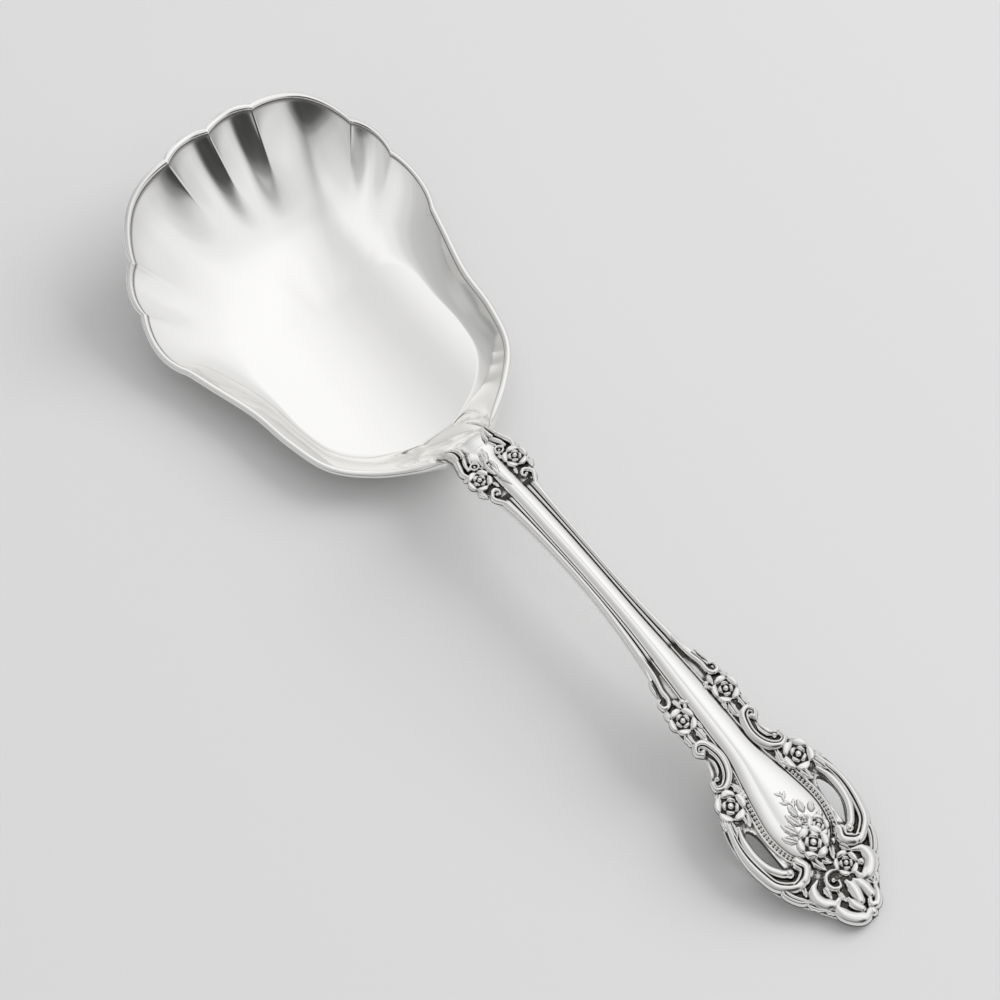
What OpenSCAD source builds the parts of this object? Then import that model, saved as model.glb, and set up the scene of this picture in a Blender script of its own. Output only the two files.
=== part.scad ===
// Casserole spoon: a shell bowl with a beaded rim on a pierced handle with reeds, roses and scrolls.
// Millimetres. +X runs from the bowl to the tip of the handle, +Z is up, and the bowl and handle are
// symmetric about the XZ plane. The origin lies on the table under the middle of the overall length.

/* [Bowl] */
// Length of the bowl, from the notch at its front to the neck joint
bowl_length = 97; // [85:1:115]
// Width of the bowl inside its rim, at the widest place
bowl_width = 68; // [58:0.1:80]
// Height of the turned-up front rim above the table
front_height = 26; // [20:0.5:30]
// Height of the side rims above the table
side_height = 7.2; // [6.4:0.1:10]
// Thickness of the bowl's metal
bowl_wall = 1.2; // [0.9:0.1:1.6]
// Width of the round bead along the rim
rim_bead = 1.7; // [1.4:0.1:2.4]
// How far the shell lobes swell out between the notches
lobe_swell = 1.5; // [0.5:0.1:2.2]

/* [Handle] */
// Length of the handle, from the neck joint to the tip
handle_length = 126; // [110:1:145]
// Height of the plate's top at the neck joint above the table
neck_height = 16; // [13:0.1:18]
// Rise of the stem's crest above the neck joint
crest_rise = 2; // [1:0.1:4]
// Width of the plate at the neck joint
neck_width = 11.4; // [10.6:0.1:12.4]
// Width of the plate across the neck roses
collar_width = 13.4; // [12.4:0.1:15]
// Width of the stem at its narrowest
stem_width = 7.8; // [7:0.1:9.5]
// Width of the plate across the mid roses
knuckle_width = 16.4; // [15.6:0.1:18]
// Width of the plate between the mid and the shoulder roses
waist_width = 14; // [13.4:0.1:15.6]
// Width of the plate across the two pierced loops
spread_width = 28.6; // [26.6:0.1:32]
// Thickness of the stem
stem_thickness = 2.6; // [2:0.1:3.6]
// Thickness of the plate at the tip
tip_thickness = 1.5; // [1.2:0.1:2]
// Widest opening of each piercing
pierce_width = 3; // [2:0.1:3.4]

/* [Ornament] */
// Rise of the crowned panel above the plate
panel_rise = 1.1; // [0.8:0.1:1.6]
// Width of the panel along the stem
panel_width = 4; // [3:0.1:4.4]
// Width of the cartouche that ends the panel
cartouche_width = 12.4; // [10.4:0.1:13]
// Width of each reeded edge moulding
reed_width = 1.6; // [1.1:0.1:1.8]
// Diameter of the roses at the neck
neck_rose = 5; // [4:0.1:5.6]
// Diameter of the roses half way along the handle
mid_rose = 5.4; // [4.4:0.1:5.8]
// Diameter of the roses at the shoulders of the loops
shoulder_rose = 6.2; // [5:0.1:6.6]
// Diameter of the rose on the cartouche
bouquet_rose = 7; // [5:0.1:8]
// Rise of the roses above what they sit on
rose_rise = 1.6; // [1:0.1:2.2]
// Rise of the scrolls and leaves above the plate
scroll_rise = 1.3; // [0.8:0.1:1.8]
// Diameter of the beads beside the cartouche
bead = 0.9; // [0.7:0.05:1]

/* [Hidden] */

// Solder line under each applied piece
seat_gap = 0.02;
// Lift of a piece on the crowned panel, which clears the crown between its seated points
crown_gap = 0.2;
// How far past the panel's edge the seat of such a piece stays on the crown
crown_ease = 0.8;
// Clearance between a rose and the panel beside it
side_gap = 0.1;
// Depth by which the underside of the bowl is dressed flat to stand
rest_dress = 0.1;
silver = [0.86, 0.86, 0.85];
bright_silver = [0.93, 0.93, 0.92];
dark_silver = [0.62, 0.62, 0.60];

// Plain helpers
function smooth(t) = let (c = min(max(t, 0), 1)) c * c * (3 - 2 * c);
function mix(a, b, t) = a + (b - a) * t;
function unit(v) = v / norm(v);
function flat(rows) = [for (row = rows) each row];

// Smooth curve through rows of values; s counts rows, so s = 2 is the third row
function spline(rows, s) =
    let (n = len(rows) - 1, i = min(max(floor(s), 0), n - 1), t = s - i,
         b = rows[i], c = rows[i + 1],
         a = i > 0 ? rows[i - 1] : 2 * b - c,
         d = i + 2 <= n ? rows[i + 2] : 2 * c - b)
    0.5 * (2 * b + (c - a) * t + (2 * a - 5 * b + 4 * c - d) * t * t
        + (3 * b - a - 3 * c + d) * t * t * t);
function sampled(rows, steps) =
    [for (k = [0:steps]) spline(rows, k * (len(rows) - 1) / steps)];

// Two triangles for each cell of a grid of n columns with k points each
function cells(n, k, around_k) =
    [for (i = [0:n - 2], j = [0:k - (around_k ? 1 : 2)])
        let (a = i * k + j, b = a + k, a2 = i * k + (j + 1) % k, b2 = a2 + k)
        each [[a, b, b2], [a, b2, a2]]];
// Solid between rings of k points that each lie in a plane
module skin(rings) {
    n = len(rings);
    k = len(rings[0]);
    ends = [[for (j = [0:k - 1]) j], [for (j = [k - 1:-1:0]) (n - 1) * k + j]];
    polyhedron(flat(rings), concat(cells(n, k, true), ends), convexity = 8);
}
// Solid under rings that close in from an outline to a middle, with a fanned base
module mound(rings, base_mid, top_mid) {
    n = len(rings);
    k = len(rings[0]);
    points = concat(flat(rings), [base_mid, top_mid]);
    base = [for (j = [0:k - 1]) [j, (j + 1) % k, n * k]];
    top = [for (j = [0:k - 1]) [(n - 1) * k + (j + 1) % k, (n - 1) * k + j, n * k + 1]];
    polyhedron(points, concat(cells(n, k, true), base, top), convexity = 8);
}

// Handle: u runs from 0 at the neck joint to 1 at the tip
crest_u = 0.16;
function along(u) = bowl_length + handle_length * u;
function top_at(u) =
    u < crest_u
        ? neck_height + crest_rise * (1 - pow(1 - u / crest_u, 2))
        : let (q = min((u - crest_u) / (1 - crest_u), 1))
            tip_thickness + (neck_height + crest_rise - tip_thickness) * pow(1 - q * q, 1.3);
function thick_at(u) = mix(stem_thickness, tip_thickness, smooth((u - 0.3) / 0.5));
plate_steps = 50;
plate_u = [for (k = [0:plate_steps]) k / plate_steps];
top_table = [for (u = plate_u) [along(u), top_at(u)]];
function plate_top(x) = lookup(x, top_table);

// Half widths of the plate: place along the handle, half width
outline = sampled([
    [0, neck_width / 2],
    [0.055, collar_width / 2],
    [0.11, mix(stem_width, collar_width, 0.35) / 2],
    [0.22, stem_width / 2],
    [0.36, stem_width / 2],
    [0.5, mix(stem_width, knuckle_width, 0.4) / 2],
    [0.585, knuckle_width / 2],
    [0.65, waist_width / 2],
    [0.70, mix(waist_width, spread_width, 0.4) / 2],
    [0.76, mix(waist_width, spread_width, 0.88) / 2],
    [0.815, spread_width / 2],
    [0.86, mix(waist_width, spread_width, 0.88) / 2],
    [0.9, mix(waist_width, spread_width, 0.6) / 2],
    [0.94, 0.28 * spread_width],
    [0.98, 0.15 * spread_width],
    [1, 0.05 * spread_width]], 60);
function half_width(u) = lookup(u, outline);

// Half widths of the panel: place along the handle, half width
panel_rows = sampled([
    [0, neck_width / 2],
    [0.022, panel_width * 0.75],
    [0.05, panel_width / 2],
    [0.2, panel_width / 2],
    [0.4, panel_width / 2],
    [0.56, panel_width * 0.7],
    [0.67, panel_width * 0.8],
    [0.74, mix(panel_width * 0.8, cartouche_width / 2, 0.6)],
    [0.80, cartouche_width / 2],
    [0.842, cartouche_width * 0.43],
    [0.864, cartouche_width * 0.28],
    [0.873, cartouche_width * 0.1]], 66);
panel_end = 0.873;
panel_u = concat([0, 0.01], [for (u = plate_u) if (u > 0.01 && u < panel_end) u], [0.868, panel_end]);
function panel_half(u) = lookup(u, panel_rows);
function panel_top(x, y, ease = 0) =
    let (w = panel_half((x - bowl_length) / handle_length) + ease)
    plate_top(x) + seat_gap + panel_rise * sqrt(max(0, 1 - pow(y / w, 2)));

// Bowl: rows of the rim from one row past the front notch round the other side to the neck.
// Each row holds a share of the length, a share of the half width, and how far the rim is lifted
// toward the front height and toward the neck height.
rim_rows = [
    [0.044, -0.33, 0.99, 0],
    [0.036, 0, 1, 0],
    [0.044, 0.33, 0.99, 0],
    [0.082, 0.64, 0.83, 0],
    [0.16, 0.857, 0.53, 0],
    [0.252, 0.976, 0.22, 0],
    [0.345, 1, 0.02, 0],
    [0.449, 0.926, 0, 0],
    [0.578, 0.821, 0, 0],
    [0.69, 0.779, 0, 0.05],
    [0.788, 0.697, 0, 0.03],
    [0.858, 0.515, 0, 0.02],
    [0.917, 0.30, 0, 0.2],
    [0.96, 0.19, 0, 0.6],
    [1, neck_width / bowl_width, 0, 1]];
rim_end = len(rim_rows) - 2;
middle_x = 0.515 * bowl_length;
floor_z = bowl_wall - rest_dress;
// Lobes between the notches: first and last row, share of the swell
lobes = [[0, 1, 0.8], [1, 3, 1], [3, 4, 0.65], [4, 5.6, 0.4]];
function lobe(s) =
    let (hits = [for (l = lobes) if (s >= l[0] && s <= l[1])
            l[2] * pow(sin(180 * (s - l[0]) / (l[1] - l[0])), 0.75)])
    lobe_swell * (len(hits) > 0 ? max(hits) : 0);
// Where the flat floor ends, as a share of the way to the rim, and how steeply the wall leaves it
function floor_share(s) =
    lookup(s, [[0, 0.15], [1, 0.16], [2, 0.2], [3, 0.3], [4, 0.44], [5, 0.6], [6, 0.73], [7, 0.795],
        [8, 0.815], [9, 0.83], [10, 0.84], [11, 0.81], [12, 0.76], [rim_end, 0.705]]);
function wall_power(s) =
    lookup(s, [[0, 2.2], [3, 2.2], [4, 2.1], [5, 1.95], [6, 1.75], [7, 1.6], [9, 1.45], [rim_end, 1.4]]);
function rim_point(s) =
    let (r = spline(rim_rows, s + 1))
    [r[0] * bowl_length, r[1] * bowl_width / 2,
     side_height + (front_height - side_height) * r[2] + (neck_height - side_height) * r[3]];
function rim_normal(s) =
    let (a = rim_point(max(s - 0.05, 0)), b = rim_point(min(s + 0.05, rim_end)))
    unit([a[1] - b[1], b[0] - a[0], 0]);

// Stations round one half of the bowl: close together over the lobes, then across the neck
rim_stations = concat(
    [for (k = [0:5]) k / 6],
    [for (k = [0:9]) 1 + k / 5],
    [for (k = [0:5]) 3 + k / 6],
    [for (k = [0:5]) 4 + k / 5],
    [for (k = [0:13]) 5.2 + k * (rim_end - 5.2) / 13]);
neck_cuts = 4;
wall_shares = [1, 0.94, 0.86, 0.76, 0.64, 0.5, 0.35, 0.18, 0];
floor_shares = [0.62, 0.3];
// Rise of the saddle at the neck: steep at its foot, and level with the handle where it ends
saddle_foot = 1.82;
saddle_end = 0.18;
saddle_fillet = 0.07;
function saddle(share) =
    let (t = (sqrt(share * share + pow(saddle_fillet, 2)) - saddle_fillet)
            / (sqrt(1 + pow(saddle_fillet, 2)) - saddle_fillet))
    smooth(t) + saddle_foot * t * pow(1 - t, 2) - saddle_end * t * t * (1 - t);
// A point of the inner surface: edge point of the ray, share of the wall, lobe and wall data
function wall_point(edge, push, share, flat_share, power, rolled) =
    let (r = mix(flat_share, 1, share),
         fade = smooth((share - 0.25) / 0.75),
         plan = [mix(middle_x, edge[0], r), edge[1] * r, 0] + push * fade,
         rise = mix(pow(share, power), saddle(share), rolled))
    [plan[0], plan[1], mix(floor_z, edge[2], rise)];
function ray(edge, push, s) =
    let (f = floor_share(s), p = wall_power(s), rolled = smooth((s - rim_end + 3.5) / 3.5))
    concat(
        [for (w = wall_shares) wall_point(edge, push, w, f, p, rolled)],
        [for (g = floor_shares) [mix(middle_x, edge[0], f * g), edge[1] * f * g, floor_z]]);
// How much a ray belongs to the neck, where the wall leans into a saddle and the metal thickens
function necked_at(s) = smooth((s - rim_end + 2) / 2);
// Across the neck the rays end on the section that the plate has at the joint
function plate_side(w, a) = w * sign(cos(a)) * pow(abs(cos(a)), 0.6);
function plate_depth(t, a) = t * pow(sin(a), 0.5);
neck_angles = [for (k = [1:neck_cuts]) 90 * k / neck_cuts];
half_rays = concat(
    [for (s = rim_stations) ray(rim_point(s), rim_normal(s) * lobe(s), s)],
    [for (a = neck_angles)
        let (y = plate_side(neck_width / 2, a))
        ray([bowl_length, y, panel_top(bowl_length, y)], [0, 0, 0], rim_end)]);
half_necks = concat([for (s = rim_stations) necked_at(s)], [for (a = neck_angles) 1]);
half_depths = concat(
    [for (s = rim_stations) bowl_wall],
    [for (a = neck_angles)
        panel_top(bowl_length, plate_side(neck_width / 2, a)) - neck_height
            + plate_depth(stem_thickness, a)]);
half_count = len(half_rays);
function other_side(p) = [p[0], -p[1], p[2]];
function both_sides(list) = concat(list, [for (k = [half_count - 2:-1:1]) list[k]]);
rays = concat(half_rays, [for (k = [half_count - 2:-1:1]) [for (p = half_rays[k]) other_side(p)]]);
necks = both_sides(half_necks);
depths = both_sides(half_depths);
ray_count = len(rays);
ring_count = len(rays[0]);
// From the inner face through the metal: square to the sheet, and straight down at the neck joint
function through(i, j) =
    let (around = rays[(i + 1) % ray_count][j] - rays[(i + ray_count - 1) % ray_count][j],
         inward = rays[i][min(j + 1, ring_count - 1)] - rays[i][max(j - 1, 0)],
         turn = necks[i] * smooth(1 - j / 7))
    unit(mix(unit(cross(around, inward)), [0, 0, -1], turn)) * mix(bowl_wall, depths[i], turn);
under = [for (i = [0:ray_count - 1])
    [for (j = [0:ring_count - 1])
        rays[i][j] + (j > len(wall_shares) - 2 ? [0, 0, -bowl_wall] : through(i, j))]];

// Rim bead: rings that stand on the sheet's edge, from one side of the neck round to the other
rim_count = len(rim_stations) - 1;
bead_order = concat([for (k = [rim_count - 1:-1:1]) ray_count - k], [for (k = [0:rim_count - 1]) k]);
bead_cuts = 5;
function bead_ring(i) =
    let (edge_in = rays[i][0], edge_out = under[i][0],
         side = unit(edge_out - edge_in), up = unit(rays[i][0] - rays[i][1]),
         lift = unit(up - side * (up * side)),
         chord = norm(edge_out - edge_in) / 2,
         radius = max(rim_bead / 2, chord * 1.05),
         start = -acos(chord / radius),
         hub = (edge_in + edge_out) / 2 - lift * radius * sin(start))
    concat([edge_in, edge_out],
        [for (k = [1:bead_cuts - 1])
            let (a = mix(start, 180 - start, k / bead_cuts))
            hub + radius * (cos(a) * side + sin(a) * lift)]);
bead_rings = [for (i = bead_order) bead_ring(i)];

// Overall length, for the origin
rim_front = min([for (ring = bead_rings) each [for (p = ring) p[0]]]);
mid_x = (rim_front + along(1)) / 2;

// Lays the spoon's own x, measured from the front notch, about the origin
module placed() {
    translate([-mid_x, 0, 0]) children();
}
// One of a pair: side -1 is the left, +1 the right as seen from the bowl
module sided(side) {
    placed() mirror([0, side < 0 ? 1 : 0, 0]) children();
}

module bowl() {
    color(bright_silver) placed() difference() {
        columns = [for (i = [0:ray_count - 1])
            concat([for (j = [ring_count - 1:-1:0]) rays[i][j]], under[i])];
        k = 2 * ring_count;
        inner_mid = ray_count * k;
        middle = [[middle_x, 0, floor_z], [middle_x, 0, floor_z - bowl_wall]];
        faces = [for (i = [0:ray_count - 1])
            let (a = i * k, b = ((i + 1) % ray_count) * k)
            each concat(
                [for (j = [0:k - 2]) each [[a + j, a + j + 1, b + j + 1], [a + j, b + j + 1, b + j]]],
                [[inner_mid, a, b], [inner_mid + 1, b + k - 1, a + k - 1]])];
        polyhedron(concat(flat(columns), middle), faces, convexity = 10);
        translate([0, -bowl_width, -bowl_wall]) cube([bowl_length, 2 * bowl_width, bowl_wall]);
    }
}
module rim_bead_wire() {
    color(bright_silver) placed() skin(bead_rings);
}

// Plate: flat on top, soft underneath
plate_cuts = 8;
module plate_body() {
    skin([for (u = plate_u)
        let (w = half_width(u), t = thick_at(u), x = along(u), z = plate_top(x))
        [for (k = [0:plate_cuts])
            let (a = 180 * k / plate_cuts)
            [x, -plate_side(w, a), z - plate_depth(t, a)]]]);
}
// Teardrop of a piercing in plan, along a bent middle line
pierce_from = 0.775;
pierce_to = 0.858;
pierce_steps = 14;
module piercing() {
    line = sampled([spread(pierce_from, 0.66), spread(0.818, 0.665), spread(pierce_to, 0.575)], pierce_steps);
    half = [for (k = [0:pierce_steps])
        pierce_width / 2 * pow(sin(180 * pow(k / pierce_steps, 0.75)), 0.8)];
    polygon(concat(
        [for (k = [0:pierce_steps]) line[k] + [0, half[k]]],
        [for (k = [pierce_steps - 1:-1:1]) line[k] - [0, half[k]]]));
}
module handle_plate() {
    color(silver) placed() difference() {
        plate_body();
        for (side = [-1, 1])
            mirror([0, side < 0 ? 1 : 0, 0]) linear_extrude(neck_height) piercing();
    }
}

panel_cuts = 10;
module center_panel() {
    color(bright_silver) placed() skin([for (u = panel_u)
        let (x = along(u), w = panel_half(u), z = plate_top(x) + seat_gap)
        [for (k = [0:panel_cuts])
            let (a = 180 * k / panel_cuts)
            [x, w * cos(a), z + panel_rise * sin(a)]]]);
}

// Reeded moulding: a broad outer reed and a fine inner one, as shares of width and height
reed_section = [[0, 0], [0.04, 0.55], [0.2, 0.95], [0.4, 0.85], [0.52, 0.35], [0.64, 0.3],
    [0.78, 0.6], [0.92, 0.5], [1, 0]];
reed_from = 0.1;
reed_to = 0.51;
reed_steps = 22;
edge_inset = 0.15;
module reed(side) {
    color(silver) sided(side) skin([for (k = [0:reed_steps])
        let (u = mix(reed_from, reed_to, k / reed_steps), x = along(u),
             ends = sqrt(sin(mix(8, 172, k / reed_steps))),
             outer = half_width(u) - edge_inset, z = plate_top(x) + seat_gap)
        [for (p = reed_section)
            [x, outer - reed_width * (0.5 + (p[0] - 0.5) * ends), z + scroll_rise * 0.8 * p[1] * ends]]]);
}
module left_edge_reed() { reed(-1); }
module right_edge_reed() { reed(1); }

// A round-topped stroke along a plan path that tapers at both ends, laid on the plate
stroke_section = [[-1, 0], [-0.8, 0.62], [-0.3, 0.96], [0.3, 0.96], [0.8, 0.62], [1, 0]];
function heading(path, k) =
    let (n = len(path) - 1, d = path[min(k + 1, n)] - path[max(k - 1, 0)])
    unit([-d[1], d[0]]);
module stroke(rows, width, rise, steps) {
    path = sampled(rows, steps);
    skin([for (k = [0:steps])
        let (n = heading(path, k), taper = sqrt(sin(mix(14, 166, k / steps))))
        [for (p = stroke_section)
            let (q = path[k] - n * p[0] * taper * width / 2)
            [q[0], q[1], plate_top(q[0]) + seat_gap + p[1] * rise * taper]]]);
}
// A rose in plan rings: five lobed petals round a cupped heart and a bud
rose_rings = [[1, 0, 1], [0.99, 0.5, 1], [0.86, 0.7, 1], [0.62, 0.55, 0.6], [0.5, 0.86, 0.4],
    [0.28, 0.8, 0.2]];
rose_points = 20;
petals = 5;
module rose(center, d, rise, ground, seat = []) {
    rings = [for (r = concat(seat, rose_rings))
        [for (k = [0:rose_points - 1])
            let (a = 360 * k / rose_points,
                 reach = d / 2 * r[0] * (1 - 0.1 * r[2] * (1 + cos(petals * a)) / 2),
                 x = center[0] + reach * cos(a), y = center[1] + reach * sin(a))
            [x, y, ground(x, y) + seat_gap + rise * r[1]]]];
    base = ground(center[0], center[1]) + seat_gap;
    mound(rings, [center[0], center[1], base], [center[0], center[1], base + rise * 0.92]);
}
on_plate = function(x, y) plate_top(x);
on_panel = function(x, y) panel_top(x, y, crown_ease) + crown_gap;
// Ring of the underside, on a crowned seat
panel_seat = [[0.55, 0, 0.5]];
// A pointed leaf: middle, length, width and the way it points in plan
leaf_points = 12;
leaf_rings = [[1, 0], [0.9, 0.55], [0.5, 0.95]];
module leaf(center, length, width, way, rise, ground) {
    rings = [for (r = leaf_rings)
        [for (k = [0:leaf_points - 1])
            let (a = 360 * k / leaf_points, across = width / 2 * sin(a) * (1 - 0.35 * cos(a)) * r[0],
                 forth = length / 2 * cos(a) * r[0],
                 x = center[0] + forth * cos(way) - across * sin(way),
                 y = center[1] + forth * sin(way) + across * cos(way))
            [x, y, ground(x, y) + seat_gap + rise * r[1]]]];
    base = ground(center[0], center[1]) + seat_gap;
    mound(rings, [center[0], center[1], base], [center[0], center[1], base + rise]);
}

// Places on the plate: a share of the lane between the panel and the edge, or a share of the spread
function lane(u, share) = [along(u), mix(panel_half(u), half_width(u), share)];
function spread(u, share) = [along(u), share * spread_width / 2];
function in_from_edge(u, inset) = [along(u), half_width(u) - inset];
function out_from_panel(u, step) = [along(u), panel_half(u) + step];

// Neck: acanthus strokes that leave the rim bead, a rose on each side and one bud on the panel
neck_leaf_width = 1.1;
bud_length = 4.4;
module neck_leaf(side) {
    outer = [lane(0.008, 0.62), lane(0.018, 0.86), lane(0.03, 0.72)];
    inner = [lane(0.014, 0.36), lane(0.022, 0.42), lane(0.032, 0.26)];
    color(dark_silver) sided(side) {
        stroke(outer, neck_leaf_width, scroll_rise, 8);
        stroke(inner, neck_leaf_width * 0.8, scroll_rise, 8);
    }
}
module left_neck_leaf() { neck_leaf(-1); }
module right_neck_leaf() { neck_leaf(1); }
module roses_at_neck(side) {
    color(dark_silver) sided(side)
        rose(out_from_panel(0.054, neck_rose / 2 + side_gap), neck_rose, rose_rise, on_plate);
}
module left_neck_rose() { roses_at_neck(-1); }
module right_neck_rose() { roses_at_neck(1); }
module neck_bud() {
    color(dark_silver) sided(-1)
        leaf([along(0.036), panel_width * 0.15], bud_length, panel_width * 0.36, 0, scroll_rise * 0.6,
            on_panel);
}

// Half way along: a rose with two leaves before it and two after
mid_u = 0.582;
mid_reach = mid_rose / 2 / handle_length;
leaf_length = 3;
leaf_width = 1.7;
leaf_reach = leaf_length / 2 / handle_length;
module roses_at_middle(side) {
    color(dark_silver) sided(side)
        rose(out_from_panel(mid_u, mid_rose / 2 + side_gap), mid_rose, rose_rise, on_plate);
}
module left_mid_rose() { roses_at_middle(-1); }
module right_mid_rose() { roses_at_middle(1); }
module mid_leaves(side) {
    before = mid_u - mid_reach - leaf_reach * 1.1;
    after = mid_u + mid_reach + leaf_reach * 1.1;
    color(dark_silver) sided(side) {
        leaf(lane(before, 0.72), leaf_length, leaf_width, 12, scroll_rise, on_plate);
        leaf(lane(before, 0.24), leaf_length * 0.8, leaf_width * 0.7, -12, scroll_rise, on_plate);
        leaf(lane(after, 0.72), leaf_length, leaf_width, 8, scroll_rise, on_plate);
        leaf(lane(after, 0.26), leaf_length * 0.9, leaf_width * 0.75, -8, scroll_rise, on_plate);
    }
}
module left_mid_leaves() { mid_leaves(-1); }
module right_mid_leaves() { mid_leaves(1); }

// Waist: a C scroll with its back to the panel
scroll_width = 1.2;
module waist_scroll(side) {
    color(dark_silver) sided(side)
        stroke([lane(0.646, 0.84), lane(0.638, 0.74), lane(0.635, 0.52), lane(0.643, 0.3), lane(0.658, 0.22),
            lane(0.675, 0.22), lane(0.690, 0.3), lane(0.698, 0.5), lane(0.698, 0.7)],
            scroll_width, scroll_rise, 24);
}
module left_waist_scroll() { waist_scroll(-1); }
module right_waist_scroll() { waist_scroll(1); }

// Shoulder of each loop: a rose with a leaf toward the panel and two leaves into the loop
shoulder_u = 0.732;
shoulder_reach = shoulder_rose / 2 / handle_length;
module roses_at_shoulder(side) {
    color(dark_silver) sided(side)
        rose(in_from_edge(shoulder_u, shoulder_rose * 0.4), shoulder_rose, rose_rise, on_plate);
}
module left_shoulder_rose() { roses_at_shoulder(-1); }
module right_shoulder_rose() { roses_at_shoulder(1); }
module shoulder_leaves(side) {
    after = shoulder_u + shoulder_reach + leaf_reach;
    color(dark_silver) sided(side) {
        leaf(in_from_edge(after, leaf_width), leaf_length * 0.9, leaf_width, 25, scroll_rise, on_plate);
        leaf(out_from_panel(after, 1.6 * leaf_width), leaf_length * 0.8, leaf_width * 0.8, -20,
            scroll_rise, on_plate);
    }
}
module left_shoulder_leaves() { shoulder_leaves(-1); }
module right_shoulder_leaves() { shoulder_leaves(1); }

// Loop: a broad reed that ends in a volute, and a fine reed inside it along the piercing
arm_width = 2;
arm_inset = arm_width / 2 + edge_inset;
fine_width = 0.8;
fine_inset = arm_width + fine_width / 2 + 2 * edge_inset;
module loop_arm(side) {
    color(silver) sided(side) {
        stroke([in_from_edge(0.782, arm_inset), in_from_edge(0.815, arm_inset), in_from_edge(0.85, arm_inset),
            in_from_edge(0.876, arm_inset), spread(0.889, 0.58), spread(0.884, 0.43), spread(0.872, 0.4)],
            arm_width, scroll_rise * 1.2, 28);
        stroke([in_from_edge(0.788, fine_inset), in_from_edge(0.815, fine_inset),
            in_from_edge(0.842, fine_inset), spread(0.862, 0.66)], fine_width, scroll_rise, 14);
    }
}
module left_loop_arm() { loop_arm(-1); }
module right_loop_arm() { loop_arm(1); }

// Bead border: half-round beads at even steps along the edge of the cartouche
border_from = 0.745;
border_to = 0.868;
bead_pitch = bead * 1.12;
border_edge = [for (row = panel_rows)
    if (row[0] > border_from && row[0] < border_to) [along(row[0]), row[1]]];
border_path = [for (k = [0:len(border_edge) - 1])
    border_edge[k] + heading(border_edge, k) * bead * 0.75];
function run_to(path, k) = k == 0 ? 0 : run_to(path, k - 1) + norm(path[k] - path[k - 1]);
border_runs = [for (k = [0:len(border_path) - 1]) run_to(border_path, k)];
border_x = [for (k = [0:len(border_path) - 1]) [border_runs[k], border_path[k][0]]];
border_y = [for (k = [0:len(border_path) - 1]) [border_runs[k], border_path[k][1]]];
bead_facets = 16;
module half_bead() {
    rotate_extrude($fn = bead_facets) intersection() {
        circle(d = bead, $fn = bead_facets);
        square(bead);
    }
}
module bead_border(side) {
    color(silver) sided(side)
        for (run = [0:bead_pitch:max(border_runs)])
            let (x = lookup(run, border_x), y = lookup(run, border_y),
                 fall = plate_top(x + bead / 2) - plate_top(x - bead / 2))
            translate([x, y, plate_top(x) + seat_gap]) rotate([0, -atan2(fall, bead), 0]) half_bead();
}
module left_bead_border() { bead_border(-1); }
module right_bead_border() { bead_border(1); }

// Cartouche: a rose near its end, and a spray of a small flower and leaves above it
cartouche_u = panel_end - 0.97 * bouquet_rose / 2 / handle_length;
spray_reach = bouquet_rose / 2 / handle_length;
// Leaves of the spray: place before the rose, offset across, and the way each one points
spray_spots = [[0.008, -2.6, 150], [0.022, -1.9, 165], [0.034, 0.1, 178], [0.018, 3.3, 200]];
module cartouche_rose() {
    color(dark_silver) placed()
        rose([along(cartouche_u), 0], bouquet_rose, rose_rise * 0.8, on_panel, panel_seat);
}
module cartouche_spray() {
    root = cartouche_u - spray_reach;
    color(dark_silver) placed() {
        rose([along(root - 0.013), 0.9], leaf_length, rose_rise * 0.5, on_panel);
        for (spot = spray_spots)
            leaf([along(root - spot[0]), spot[1]], leaf_length * 0.75, leaf_width * 0.6, spot[2],
                scroll_rise * 0.35, on_panel);
    }
}

// Terminal: a flower with a scroll on each side, a shell at the tip and small scrolls on the edge
terminal_flower_d = 4.8;
flower_at = spread(0.909, 0.18);
function round_flower(a) = flower_at + (terminal_flower_d / 2 + scroll_width * 0.75) * [cos(a), sin(a)];
module terminal_flower() {
    color(dark_silver) placed() rose(flower_at, terminal_flower_d, rose_rise, on_plate);
}
module right_terminal_scroll() {
    color(dark_silver) placed()
        stroke([for (a = [95:-33:-37]) round_flower(a)], scroll_width, scroll_rise, 18);
}
curl_at = spread(0.915, -0.25);
curl_radius = 2.4;
curl_turns = 7;
module left_terminal_scroll() {
    curl = [for (k = [0:curl_turns])
        let (a = 100 - 40 * k, r = curl_radius * (1 - k / 12))
        curl_at + r * [cos(a), sin(a)]];
    color(dark_silver) placed() stroke(curl, scroll_width * 0.85, scroll_rise, 24);
}
shell_lobes = 7;
shell_at = spread(0.973, 0);
shell_share = 0.026;
module tip_shell() {
    reach = handle_length * shell_share;
    steps = 4 * shell_lobes;
    function shell_ring(share, h) = [for (k = [0:steps - 1])
        let (a = 360 * k / steps, r = reach * share * (0.94 + 0.06 * abs(cos(shell_lobes * a / 2))),
             x = shell_at[0] + r * cos(a), y = shell_at[1] + r * sin(a) * 0.95)
        [x, y, plate_top(x) + seat_gap + h * scroll_rise]];
    color(dark_silver) placed()
        mound([shell_ring(1, 0), shell_ring(1, 0.45), shell_ring(0.8, 0.85), shell_ring(0.5, 0.75)],
            [shell_at[0], shell_at[1], plate_top(shell_at[0]) + seat_gap],
            [shell_at[0], shell_at[1], plate_top(shell_at[0]) + seat_gap + scroll_rise * 0.5]);
}
module tip_scroll(side) {
    inset = neck_leaf_width / 2 + edge_inset;
    color(dark_silver) sided(side)
        stroke([in_from_edge(0.893, inset), in_from_edge(0.91, inset), in_from_edge(0.93, inset),
            in_from_edge(0.945, 1.6 * inset)], neck_leaf_width, scroll_rise, 12);
}
module left_tip_scroll() { tip_scroll(-1); }
module right_tip_scroll() { tip_scroll(1); }

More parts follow.
